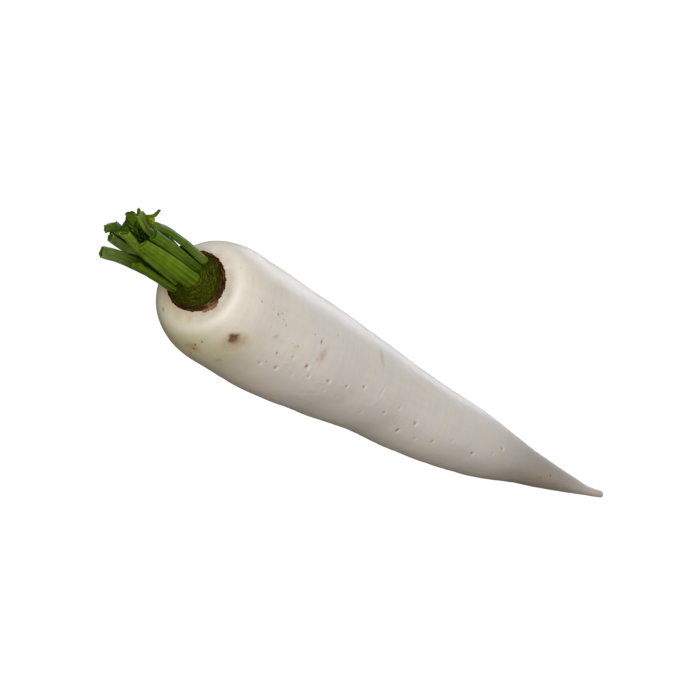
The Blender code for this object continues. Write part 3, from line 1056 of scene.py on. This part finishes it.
        # Painted light: a pale ring next to the crown lifts the shade in the crease there.
        strength, place, width = self.painted_light_ring
        self._cover("pale", strength * np.exp(-(((self.along - place) / width) ** 2)))
        # Painted shade: the skin that faces down is darkened brown through the dark mask.
        down, body = self.normals[..., 2], smooth_step(20.0, 70.0, self.along)
        painted_shade_beneath = self.painted_underside_shade * smooth_step(-0.62, -0.85, down)
        self._cover("dark", (painted_shade_beneath + self.painted_lowest_shade * smooth_step(-0.77, -0.87, down)) * body)
        under = smooth_step(52.0, 14.0, self.grid[..., 2] + 5 * ripple(self.grid, 30.0, SEED + 6))
        self.masks["green"] = self.green_amount * under * smooth_step(60.0, 12.0, self.along)
        faded = 1 - 0.5 * smooth_step(335.0, 380.0, self.along)
        self.masks["grey"] = smooth_step(232.0, 322.0, self.along) * faded
        end = self.form.tip_end
        self._cover("stain", self.tip_stain * smooth_step(end - 26, end - 2, self.along))

    def _close_tip(self, grid: Array) -> tuple[Array, dict[str, Array]]:
        """Round the edge of the broken tip and close it.

        Args:
            grid: the skin's points.

        Returns:
            The grid and the masks with the extra rings.
        """
        last = grid[-1]
        middle = last.mean(axis=0)
        ahead = unit(middle - grid[-12].mean(axis=0))
        extra = [middle + (last - middle) * share + ahead * push for share, push in self.tip_rings]
        masks = {name: repeat_last(values, len(extra)) for name, values in self.masks.items()}
        return np.concatenate([grid, np.stack(extra)]), masks


@dataclass
class Crown:
    """The plate of leaf scars: a low dome of overlapping crescents in a ring of brown fibre."""

    form: RootForm
    seat: Seat
    finish: CrownFinish = field(default_factory=CrownFinish)
    profile: Knots = (
        (0.0, 8.2), (4.0, 8.0), (6.5, 7.3), (7.5, 6.6), (8.5, 5.7), (9.5, 4.9), (10.5, 4.2), (11.5, 3.5),
        (12.5, 2.9), (13.5, 2.3), (14.5, 1.7), (15.4, 1.1), (15.9, 0.6), (16.6, -0.6),
    )
    rings: int = 190
    sides: int = 420
    scars: int = 90
    scar_edge: float = 0.15
    relief_limit: float = 0.7
    # lit_side: the turn whose scar edges get the most painted highlight
    lit_side: float = 0.5
    patch_turn: float = 0.0
    patch_width: float = 0.22
    waves: tuple[Point, ...] = (
        (0.010, 3, 1), (0.006, 8, 0), (0.011, 23, 2), (0.008, 41, 1), (0.006, 67, 0),
    )

    def height(self, across: Array, up: Array) -> Array:
        """Height of the bare dome at a place in the crown's frame."""
        return smooth_curve(self.profile, np.hypot(across, up)) + self.form.plate_rise(across, up)

    def _relief(self, r: Array, turn: Array) -> tuple[Array, Array]:
        """Raise the crescents.

        Args:
            r, turn: polar coordinates of the points.

        Returns:
            The height, and the light edge of the scars with its painted highlight, which is strongest on
            the lit side.
        """
        height, ridge = np.zeros(r.shape), np.zeros(r.shape)
        golden = math.pi * (3 - math.sqrt(5))
        draw = np.random.default_rng(SEED)
        for number in range(self.scars):
            share = number / (self.scars - 1)
            edge_radius = 14.7 - 8.6 * share**0.8
            middle = number * golden + draw.normal(0, 0.2)
            half = draw.uniform(0.35, 1.15)
            away = angle_from(middle, turn)
            edge = edge_radius - draw.uniform(0.1, 0.9) * away**2 + draw.uniform(-0.5, 0.5) * away
            edge = edge + 0.10 * np.sin(7 * turn + number) + 0.05 * np.sin(19 * turn + number)
            window = np.exp(-((away / half) ** 4))
            step = smooth_step(0.5, -0.1, r - edge) * window
            line = np.exp(-(((r - edge) / self.scar_edge) ** 2)) * window
            height = np.maximum(height, 0.12 * step) + 0.20 * line * draw.uniform(0.4, 1.0)
            ridge = np.maximum(ridge, line * draw.uniform(0.25, 1.0))
        # Painted highlight: the scar edges are brightest on the side that faces the light.
        lit = 0.35 + 0.65 * np.exp(-((angle_from(self.lit_side, turn) / 0.9) ** 2))
        return np.minimum(height, self.relief_limit), ridge * lit

    def build(self, effects: PlantEffects) -> Material:
        """Make the crown plate.

        Args:
            effects: the shared node groups.

        Returns:
            Its material, which its strands share.
        """
        radii = np.linspace(self.profile[-1][0], 0.02, self.rings)[:, None]
        turn = np.arange(self.sides)[None, :] / self.sides * math.tau
        wobble = 1 + sum(size * np.sin(count * turn + start) for size, count, start in self.waves)
        r = radii * np.ones_like(turn)
        relief, ridge = self._relief(r, turn)
        fade = smooth_step(16.4, 15.4, r)
        across, up = dome_place(r * wobble, turn)
        height = smooth_curve(self.profile, r) + self.form.plate_rise(across, up)
        flat = np.stack([across, up, height], axis=-1)
        rough = ripple(flat, 1.3, SEED + 7) * 0.06 + ripple(flat, 3.4, SEED + 8) * 0.14
        uneven = r + 0.4 * ripple(flat, 3.0, SEED + 9) + 0.5 * ripple(flat, 9.0, SEED + 12)
        rim = smooth_step(14.4, 15.1, uneven)
        fray = rim * (0.16 * ripple(flat * np.array([1, 1, 0.3]), 0.9, SEED + 10))
        flat[..., 2] += (relief * (1 - 0.6 * rim) + rough + fray) * fade
        away = angle_from(self.patch_turn, turn)
        paper = 0.8 * (np.exp(-((away / self.patch_width) ** 2)) * smooth_step(14.4, 15.4, r))
        masks = {"ridge": ridge * (1 - rim), "rim": rim, "paper": paper, "tone": np.full(r.shape, 0.1)}
        material = self.finish.material(effects)
        make_piece("crown_plate", self.seat.world(flat), masks, "crown_scars", material, "crown")
        return material


@dataclass
class CrownFibres:
    """Loose strands: pale ones that lie on the dome and brown ones that fray round its rim."""

    crown: Crown
    dome_count: int = 110
    rim_count: int = 330
    rings: int = 14
    sides: int = 6
    rim_radius: float = 15.6
    scale_rings: int = 60
    scale_sides: int = 24
    scale_width: float = 3.3
    scale_thick: float = 0.35
    outward: Point = (0.0, 0.0, 1.0)

    def _surface(self, across: Array, up: Array) -> Array:
        """Height of the dome, and of the skin that falls away beyond it."""
        beyond = np.maximum(np.hypot(across, up) - self.rim_radius, 0)
        return self.crown.height(across, up) - 0.1 * beyond

    def _strand(self, place: tuple[float, ...], size: float, lift: float) -> Array:
        """Lay one strand along the dome.

        Args:
            place: the radius and angle of its middle, half of the angle that it covers, and how far it
                leans outwards and bows.
            size: its thickness.
            lift: how far its middle stands off the surface.

        Returns:
            Its points in the crown's frame.
        """
        radius, middle, sweep, drift, bend = place
        t = np.linspace(-1, 1, self.rings)
        across, up = dome_place(radius + drift * t + bend * t * t, middle + sweep * t)
        height = self._surface(across, up) + lift * (1 - t * t) + 0.3 * size
        path = np.stack([across, up, height], axis=-1)
        width = size * np.sqrt(1 - 0.9 * t * t)
        return tube(path, self.outward, width, width, self.sides)[0]

    def _scale(self, material: Material) -> None:
        """Make the thin papery scale that clings to the rim.

        Args:
            material: the crown's finish.
        """
        t = np.linspace(-1, 1, self.scale_rings)
        turn = 0.03 + 0.30 * t
        r = 16.9 + 0.25 * np.sin(5 * t)
        across, up = r * np.cos(turn), r * np.sin(turn)
        path = np.stack([across, up, self.crown.height(across, up) + 0.35], axis=-1)
        frayed = 1 + 0.10 * np.sin(17 * t) + 0.08 * np.sin(31 * t)
        width = self.scale_width * np.sqrt(1 - 0.97 * t * t) * frayed
        thick = np.full(self.scale_rings, self.scale_thick)
        grid, _, out = tube(path, self.outward, width, thick, self.scale_sides)
        crumple = 0.22 * ripple(grid, 1.6, SEED + 41) + 0.15 * ripple(grid, 4.0, SEED + 42)
        grid = grid + crumple[..., None] * out[:, None]
        each = np.ones(grid.shape[:2])
        masks = {"ridge": 0 * each, "tone": 0 * each, "rim": each, "paper": 0.95 * each}
        make_piece("papery_scale", self.crown.seat.world(grid), masks, "crown_scars", material)

    def build(self, material: Material) -> None:
        """Make the strands of the dome and those of the rim.

        Args:
            material: the crown's finish.
        """
        draw = np.random.default_rng(SEED + 30)
        dome, rim, tones, lights = [], [], [], []
        for _ in range(self.dome_count):
            side = draw.choice([draw.normal(0.35, 0.6), draw.uniform(-math.pi, math.pi)])
            size, lift = draw.uniform(0.16, 0.34), draw.uniform(0.0, 0.5)
            place = draw.uniform(8.0, 14.2), side, draw.uniform(0.08, 0.42)
            place += draw.normal(0, 0.5), draw.normal(0, 0.4)
            dome.append(self._strand(place, size, lift))
            lights.append(draw.uniform(0.1, 0.8) ** 1.5)
        for _ in range(self.rim_count):
            size, lift = draw.uniform(0.18, 0.42), draw.uniform(-0.1, 0.45)
            place = draw.uniform(14.8, 16.3), draw.uniform(-math.pi, math.pi), draw.uniform(0.04, 0.22)
            place += draw.normal(0, 0.4), draw.normal(0, 0.35)
            rim.append(self._strand(place, size, lift))
            tones.append(draw.choice([0.0, 0.25, 1.0], p=[0.72, 0.18, 0.10]))
        self._scale(material)
        for name, strands, ridge, tone, bark in (
            ("dome_strands", dome, lights, 0.0, 0.0),
            ("rim_fibres", rim, 0.0, tones, 1.0),
        ):
            grids = np.stack(strands)
            each = np.ones(grids.shape[:3])
            values = {"ridge": ridge, "tone": tone, "rim": bark, "paper": 0.0}
            masks = {label: each * np.reshape(value, (-1, 1, 1)) for label, value in values.items()}
            make_piece(name, self.crown.seat.world(grids), masks, "crown_scars", material)


@dataclass(frozen=True)
class StalkPlan:
    """One leaf stalk: its path (across, up, out) in the crown's frame, its section and its tone."""

    node: str
    path: tuple[Point, ...]
    width: tuple[float, ...]
    thick: tuple[float, ...]
    facing: float
    slant: float
    tone: StalkTone
    ribs: int = 5
    flare: float = 0.25
    # how dark the hollow cut end is painted with shade
    hollow_shade: float = 1.0
    crumple: float = 0.0


STALK_PLANS: tuple[StalkPlan, ...] = (
    StalkPlan("stalk_front", ((2.9, 0.0, -4), (3.8, -1.3, 30), (5.9, -2.3, 54.5)),
              (9.4, 8.9, 7.8, 6.2), (5.0, 4.4, 3.8), 5, 0.25, BRIGHT, 5, 0.04, 0.6),
    StalkPlan("stalk_front_upper", ((-1.6, 5.2, -4), (-0.5, 4.2, 29), (1.2, 3.6, 50.5)),
              (4.8, 5.8, 6.0), (3.2, 3.4, 3.2), 30, -0.2, MIDDLE, 4, 0.0),
    StalkPlan("stalk_bowed", ((-5.3, 8.0, -4), (-5.4, 8.1, 19), (-5.6, 7.2, 36), (-3.0, 5.9, 49.5)),
              (5.4, 5.4, 4.6), (5.0, 4.6, 3.7), 98, -0.3, WASHED, 5, 0.0),
    StalkPlan("stalk_left", ((-2.3, -8.1, -4), (-2.2, -8.2, 13.5), (-4.2, -8.9, 39), (-4.3, -7.4, 57)),
              (5.2, 5.2), (3.4, 3.4), -25, 0.3, SUNNY, 3),
    StalkPlan("stalk_left_short", ((-1.7, -10.9, -4), (0.0, -12.5, 19), (0.6, -14.2, 38)),
              (4.8, 5.2), (3.4, 4.0), -35, 0.1, MIDDLE, 3, 0.25, 0.15),
    StalkPlan("stalk_low", ((-7.4, -10.4, -4), (-6.0, -14.4, 18), (-4.7, -18.4, 42), (-2.9, -22.2, 56)),
              (4.6, 6.0, 6.6, 6.2), (3.6, 4.4, 4.4), -120, -0.2, GLEAM, 4),
    StalkPlan("stalk_back_low", ((-10.8, -5.4, -4), (-9.8, -10.6, 28), (-8.3, -15, 45), (-7.2, -15.3, 56)),
              (4.2, 4.4), (3.0, 3.0), 205, 0.3, GLEAM, 3),
    StalkPlan("stalk_back_mid", ((-11.8, 1.0, -4), (-10.8, -2.4, 28), (-10.8, -2.8, 45), (-10.7, -0.5, 59)),
              (4.6, 4.8), (3.2, 3.2), 175, -0.3, MIDDLE, 3),
    StalkPlan("stalk_back_tall", ((-8.2, 4.6, -4), (-6.9, 1.0, 28), (-8.3, 0.3, 45), (-7.9, 3.4, 60)),
              (4.6, 5.2), (3.0, 2.6), 60, 0.0, PALE, 3, 0.0),
    StalkPlan("stalk_leafy", ((-7.2, -2.9, -4), (-7.4, -5.6, 25), (-10.2, -9.4, 45), (-11.4, -11.0, 52.5),
                              (-10.9, -12.0, 57.8), (-8.8, -14.4, 62.0)),
              (4.0, 3.6, 3.8, 5.4, 4.6), (3.0, 2.8, 2.4, 1.4, 0.9), 215, 0.2, LEAF,
              3, 0.25, 0.5, 1.0),
    StalkPlan("stalk_sprig", ((-4.4, 4.6, -4), (-3.9, 4.2, 26), (-6.1, 3.2, 46), (-5.8, 4.6, 52.5),
                              (-4.2, 6.6, 57.5), (-0.2, 10.6, 60), (3.2, 15.6, 65)),
              (2.0, 2.0, 2.0, 3.2, 1.4), (2.0, 1.8, 1.6, 1.2, 0.8), 110, 0.0, BRIGHT, 2, 0.0),
    # The heart stalk takes the darkest tone: painted shade in the middle of the bundle.
    StalkPlan("stalk_heart", ((-3.6, -1.8, -4), (-3.6, -1.8, 22), (-3.8, -1.8, 42)),
              (3.8, 3.6), (2.8, 2.6), 40, 0.35, DARK, 3, 0.0),
)


@dataclass
class Stalk:
    """A ribbed leaf stalk with a broad foot on the crown and a cut end whose hollow is painted dark with
    shade.
    """

    plan: StalkPlan
    crown: Crown
    rings: int = 150
    sides: int = 72
    sunk: float = 2.0
    flare_height: float = 5.0
    ragged: float = 0.4
    lip_tint: float = 0.25
    lip_rings: int = 2
    cap: Knots = ((0.96, 0.10), (0.90, 0.10), (0.80, -0.15), (0.6, -0.5), (0.3, -0.7), (0.05, -0.75))

    def _path(self, t: Array) -> Array:
        """Centre of the stalk at t from 0 at its foot to 1 at its end."""
        across, up, out = zip(*self.plan.path)
        foot = float(self.crown.height(np.array(across[0]), np.array(up[0]))) - self.sunk
        height = foot + t * (out[-1] - foot)
        lines = (smooth_curve(tuple(zip(out, line)), height) for line in (across, up))
        return np.stack([*lines, height], axis=-1)

    def _section(self, t: Array, turn: Array, height: Array) -> tuple[Array, Array, Array]:
        """Outline of the stalk.

        Args:
            t: places along it.
            turn: angles round it, with the outer face at a quarter turn.
            height: mm above the foot.

        Returns:
            Offsets sideways and outwards, and the ribs from 0 to 1.
        """
        places = np.linspace(0, 1, len(self.plan.width))
        width = smooth_curve(tuple(zip(places, self.plan.width)), t)
        thick = smooth_curve(tuple(zip(places, self.plan.thick)), t)
        width = width * (1 + self.plan.flare * np.exp(-((height / self.flare_height) ** 2)))
        side = 0.5 * width * np.cos(turn)
        rib = 0.5 + 0.5 * np.cos(self.plan.ribs * 2 * (turn - math.pi / 2))
        outer = 0.6 * thick * np.abs(np.sin(turn)) ** 0.8 * (1 + 0.09 * rib)
        inner = -0.4 * thick * np.abs(np.sin(turn)) * (1 - 0.75 * np.sin(turn) ** 2)
        front = np.sin(turn) >= 0
        return side, np.where(front, outer, inner), np.where(front, rib**2, 0.0) + 0 * side

    def shape(self) -> tuple[Array, dict[str, Array]]:
        """Lay out the stalk.

        Returns:
            Its points in the crown's frame and its masks.
        """
        seed = SEED + sum(map(ord, self.plan.node))
        t = np.linspace(0, 1, self.rings)[:, None]
        turn = np.arange(self.sides)[None, :] / self.sides * math.tau
        centre = self._path(t[:, 0])
        tangent = unit(np.gradient(centre, axis=0))
        angle = math.radians(self.plan.facing)
        facing = np.array([math.cos(angle), math.sin(angle), 0.0])
        out = unit(facing - (tangent @ facing)[:, None] * tangent)
        side = np.cross(out, tangent)
        height = centre[:, 2:3] - centre[0, 2] - self.sunk
        a, b, rib = self._section(t, turn, np.maximum(height, 0))
        grid = centre[:, None] + a[..., None] * side[:, None] + b[..., None] * out[:, None]
        ragged = self.plan.slant * (a + b) + self.ragged * ripple(np.stack([a, b], -1), 2.2, seed)
        grid += (smooth_step(0.9, 1.0, t) * ragged)[..., None] * tangent[:, None]
        grid += 0.10 * ripple(grid, 7.0, seed + 1)[..., None] * out[:, None]
        folds = 0.5 * ripple(grid, 3.4, seed + 2) + 0.25 * ripple(grid, 1.5, seed + 3)
        folds = self.plan.crumple * smooth_step(0.5, 0.75, t) * folds
        grid += folds[..., None] * out[:, None]
        # Painted highlight: the crests of the folds take the lighter rib colour.
        rib = np.maximum(rib, np.clip(2.2 * folds, 0, 1))
        end, middle = grid[-1], grid[-1].mean(axis=0)
        cap = np.stack([middle + (end - middle) * share + push * tangent[-1] for share, push in self.cap])
        grid = np.concatenate([grid, cap])
        steps = len(cap)
        masks = {name: np.zeros(grid.shape[:2]) for name in ("cut", "lip")}
        # Painted shade in the hollow of the cut end.
        masks["cut"][-steps + self.lip_rings:] = self.plan.hollow_shade
        masks["lip"][-steps:-steps + self.lip_rings] = self.lip_tint
        masks["along"] = repeat_last(height * np.ones_like(turn), steps)
        masks["around"] = repeat_last(a + 2.0 * np.sign(b), steps)
        masks["rib"] = repeat_last(rib, steps)
        masks["own"] = np.full(grid.shape[:2], float(seed % 97))
        return grid, masks

    def build(self, materials: dict[StalkTone, Material]) -> None:
        """Make the stalk.

        Args:
            materials: the finishes by tone.
        """
        node, material = self.plan.node, materials[self.plan.tone]
        grid, masks = self.shape()
        make_piece(node + "_green", self.crown.seat.world(grid), masks, "stalk_green", material, node)


@dataclass(frozen=True)
class ScrapPlan:
    """One crumpled remnant of leaf: its path in the crown's frame, its size, its twist and its tone."""

    name: str
    path: tuple[Point, ...]
    width: tuple[float, ...]
    facing: float
    twist: float
    ruffle: float
    tone: StalkTone


# The scraps in the darkest tone fill the hollow among the stalks: leaf remnants that also paint the shade
# there.
SCRAP_PLANS: tuple[ScrapPlan, ...] = (
    ScrapPlan("scrap_hollow", ((-6.4, -2.6, 30), (-7.6, -3.4, 37), (-9.6, -4.4, 43), (-11.4, -4.6, 49)),
              (3.0, 7.6, 8.4, 4.0), 38, 40, 1.5, DARK),
    ScrapPlan("scrap_middle", ((-6.4, -2.0, 34), (-8.4, -2.0, 40), (-10.0, -2.0, 46), (-10.4, -1.0, 53)),
              (3.0, 6.8, 7.4, 3.4), 70, -60, 1.4, DARK),
    ScrapPlan("scrap_under", ((-9.6, -10.4, 38), (-12.0, -12.6, 46), (-11.3, -13.6, 52), (-9.6, -14.9, 57)),
              (3.0, 5.0, 4.8, 2.2), 40, 30, 0.6, DARK),
    ScrapPlan("scrap_ridge", ((-10.4, -6.6, 34), (-12.9, -6.9, 44), (-12.3, -6.7, 50), (-12.4, -6.2, 55)),
              (3.0, 6.4, 6.8, 4.0), 0, 25, 0.8, LEAF),
    ScrapPlan("scrap_crest", ((-10.8, -2.6, 44), (-11.9, -3.4, 50), (-12.3, -3.6, 54), (-12.6, -2.8, 57.5)),
              (2.4, 4.8, 4.6, 2.4), 5, 20, 0.6, LEAF),
    ScrapPlan("scrap_flat", ((-7.6, 1.2, 43), (-7.2, 1.7, 48), (-7.5, 3.0, 53), (-8.6, 4.4, 58)),
              (2.4, 4.6, 5.0, 4.4), 60, 10, 0.15, PALE),
    ScrapPlan("scrap_loop", ((-11.1, -9.9, 52), (-10.5, -10.8, 57), (-8.3, -12.8, 61), (-6.0, -14.8, 63)),
              (3.4, 5.6, 4.8, 1.0), 215, -40, 0.8, LEAF),
    ScrapPlan("scrap_slit_middle", ((-2.9, 5.2, 43), (-2.4, 5.5, 39), (-1.4, 6.1, 34), (-0.7, 6.7, 29)),
              (2.2, 2.6, 2.4, 1.4), 30, 10, 0.2, DARK),
    ScrapPlan("scrap_slit_low", ((-5.0, 6.0, 8), (-6.5, 5.6, 13), (-6.7, 5.6, 18), (-6.5, 5.6, 23)),
              (2.4, 3.4, 3.0, 1.0), 45, 10, 0.3, DARK),
    ScrapPlan("scrap_slit_high", ((-5.0, 4.3, 46), (-5.7, 4.3, 42), (-6.3, 4.3, 38), (-6.8, 4.4, 33)),
              (3.4, 3.6, 3.0, 1.0), 45, 10, 0.3, MIDDLE),
    ScrapPlan("scrap_strand", ((-10.6, -6.4, 49), (-9.6, -5.6, 47.5), (-8.9, -4.7, 44.5), (-6.9, -3.4, 42)),
              (0.5, 1.1, 1.0, 0.5), 60, 90, 0.1, BRIGHT),
    ScrapPlan("scrap_curl", ((-10.6, -6.6, 36), (-12.6, -7.4, 42), (-14.2, -7.8, 47.5), (-14.4, -7, 51.5)),
              (3.0, 6.4, 7.2, 5.0), 40, 50, 1.0, LEAF),
    ScrapPlan("scrap_edge", ((-9.4, -8.6, 30), (-11.4, -10.6, 37), (-12.6, -11.0, 44), (-14.0, -9.6, 50)),
              (3.0, 6.4, 6.8, 3.2), 30, -40, 1.3, DARK),
    ScrapPlan("scrap_gap", ((-7.4, -11.6, 24), (-9.8, -13.8, 31), (-11.2, -14.8, 38), (-12.0, -13.8, 45)),
              (2.6, 5.6, 6.0, 2.8), 20, 30, 0.9, DARK),
    ScrapPlan("scrap_fresh", ((-5.6, 4.2, 46.5), (-5.9, 5.3, 50), (-6.2, 5.6, 53.5), (-6.4, 4.6, 56)),
              (1.6, 3.8, 3.8, 1.8), 60, 120, 1.0, FRESH),
    ScrapPlan("scrap_fresh_tip", ((-5.2, 4.6, 49.5), (-5.2, 6.6, 51.5), (-4.8, 8.0, 53)),
              (1.4, 3.0, 0.8), 40, 80, 0.8, FRESH),
    ScrapPlan("scrap_join", ((-3.6, -10.2, 11), (-5.8, -12.6, 18), (-7.8, -15.0, 25), (-9.4, -17.4, 32)),
              (2.0, 4.6, 5.2, 3.0), 30, 20, 0.5, DARK),
    ScrapPlan("scrap_foot", ((-0.6, -8.0, 8), (-2.8, -9.8, 13), (-5.6, -11.4, 20), (-8.4, -13.4, 29)),
              (1.6, 4.0, 4.8, 3.0), 30, 20, 0.4, DARK),
    ScrapPlan("scrap_top", ((-10.8, -1.6, 42), (-12.2, -2.4, 47), (-13.0, -2.0, 51), (-12.4, -1.0, 54.5)),
              (3.0, 5.6, 5.0, 2.4), 60, 50, 0.8, LEAF),
)


@dataclass
class LeafScrap:
    """A thin crumpled piece of leaf that grew from the stalks."""

    plan: ScrapPlan
    seat: Seat
    rings: int = 90
    sides: int = 28
    thick: float = 0.55
    curl: float = 0.35

    def build(self, materials: dict[StalkTone, Material]) -> None:
        """Make the remnant.

        Args:
            materials: the finishes by tone.
        """
        plan = self.plan
        seed = SEED + sum(map(ord, plan.name))
        t = np.linspace(0, 1, self.rings)
        steps = np.linspace(0, 1, len(plan.path))
        path = np.stack([smooth_curve(tuple(zip(steps, line)), t) for line in zip(*plan.path)], axis=-1)
        width = smooth_curve(tuple(zip(np.linspace(0, 1, len(plan.width)), plan.width)), t)
        width = width * smooth_step(1.0, 0.93, t) + 0.1
        angle = np.radians(plan.facing + plan.twist * t)
        facing = np.stack([np.cos(angle), np.sin(angle), 0 * angle], axis=-1)
        grid, across, out = tube(path, facing, width, np.full(self.rings, self.thick), self.sides)
        lift = self.curl * width[:, None] * (across**2 - 0.4)
        lift = lift + plan.ruffle * ripple(grid, 4.4, seed) * (0.25 + 0.75 * np.abs(across))
        lift = lift + 0.35 * plan.ruffle * ripple(grid, 1.9, seed + 1)
        held = smooth_step(0.0, 0.15, t) * (0.35 + 0.65 * smooth_step(1.0, 0.75, t))
        grid = grid + (lift * held[:, None])[..., None] * out[:, None]
        veins = 0.5 + 0.5 * np.cos(9 * across + 40 * t[:, None])
        shape = grid.shape[:2]
        masks = {
            "along": np.full(shape, 22.0),
            "around": 3.0 * across,
            "rib": np.maximum(veins**6 * 0.6, smooth_step(0.85, 1.0, np.abs(across)) * 0.5),
            "own": np.full(shape, float(seed % 97)),
            "cut": np.zeros(shape),
            "lip": np.zeros(shape),
        }
        make_piece(plan.name, self.seat.world(grid), masks, "stalk_green", materials[plan.tone])


@dataclass
class Studio:
    """Pale floor, pale surroundings and soft light from above."""

    floor_size: float = 6.0
    bounce: Colour = (0.24, 0.20, 0.16)
    seen_paper: Colour = (0.04, 0.04, 0.04)
    sky: Colour = (0.98, 0.99, 1.0)
    sky_light: float = 0.33
    glossy_light: float = 0.54
    seen_light: float = 0.80

    def build(self) -> None:
        """Add the floor, the surroundings and the lights."""
        self._floor()
        self._surroundings()
        self._light("top_softbox", (-0.25, 0.35, 1.5), (0.0, 0.0, 0.0), 1.1, 1.4, (0.97, 0.985, 1.0))
        self._light("front_softbox", (-1.20, -0.70, 0.80), (0.0, 0.0, 0.03), 0.9, 11.2, (1.0, 0.985, 0.97))
        self._light("low_fill", (-0.80, -1.25, 0.20), (0.0, 0.0, 0.03), 0.7, 6.2, (1.0, 0.97, 0.94))
        self._light("rim_softbox", (0.85, 1.05, 0.55), (0.08, 0.0, 0.03), 0.8, 6.0, (0.86, 0.90, 1.0))
        view = bpy.context.scene.view_settings
        view.view_transform = "Standard"
        view.look = "None"
        view.exposure = 0.0
        view.gamma = 1.0

    def _floor(self) -> None:
        """A wide pale plane under the root."""
        bpy.ops.mesh.primitive_plane_add(size=self.floor_size)
        floor = bpy.context.object
        floor.name = "studio_floor"
        white = (1.0, 1.0, 1.0, 1.0)
        settings = {"Roughness": 1.0, "Specular IOR Level": 0.0, "Emission Color": white}
        material, graph, shader = new_material("floor_paper", settings)
        seen = graph.add("ShaderNodeLightPath").outputs["Is Camera Ray"]
        graph.feed(shader.inputs["Base Color"], graph.blend(seen, self.bounce, self.seen_paper))
        graph.feed(shader.inputs["Emission Strength"], seen)
        floor.data.materials.append(material)

    def _surroundings(self) -> None:
        """Even pale light from all round, white where the camera sees it."""
        world = bpy.data.worlds.new("studio_world")
        bpy.context.scene.world = world
        world.use_nodes = True
        graph = Graph(world.node_tree)
        background = world.node_tree.nodes["Background"]
        rays = graph.add("ShaderNodeLightPath").outputs
        graph.feed(background.inputs["Color"], self.sky)
        strength = graph.plus(self.sky_light, graph.times(rays["Is Glossy Ray"], self.glossy_light))
        strength = graph.plus(strength, graph.times(rays["Is Camera Ray"], self.seen_light))
        graph.feed(background.inputs["Strength"], strength)

    @staticmethod
    def _light(name: str, place: Point, target: Point, size: float, power: float, colour: Colour) -> None:
        """Add a soft square light.

        Args:
            name: the light's name.
            place, target: where it stands and looks, in metres.
            size: its side in metres.
            power: its power in watts.
            colour: its colour.
        """
        data = bpy.data.lights.new(name, "AREA")
        data.size = size
        data.energy = power
        data.color = colour
        light = bpy.data.objects.new(name, data)
        light.location = place
        light.rotation_euler = (Vector(target) - Vector(place)).to_track_quat("-Z", "Y").to_euler()
        bpy.context.scene.collection.objects.link(light)


def main() -> None:
    """Build the radish and its studio, and report each piece."""
    logging.basicConfig(level=logging.INFO, format="%(name)s: %(message)s")
    effects = PlantEffects()
    form = RootForm()
    camera = PhotoCamera()
    root = Root(form, camera)
    seat = root.seat()
    camera.aim(seat.place)
    camera.build()
    root.build(effects)
    crown = Crown(form, seat)
    scars = crown.build(effects)
    CrownFibres(crown).build(scars)
    finishes = {tone: StalkFinish(tone).material(effects) for tone in StalkTone}
    for plan in STALK_PLANS:
        Stalk(plan, crown).build(finishes)
    for scrap in SCRAP_PLANS:
        LeafScrap(scrap, seat).build(finishes)
    Studio().build()


if __name__ == "__main__":
    main()
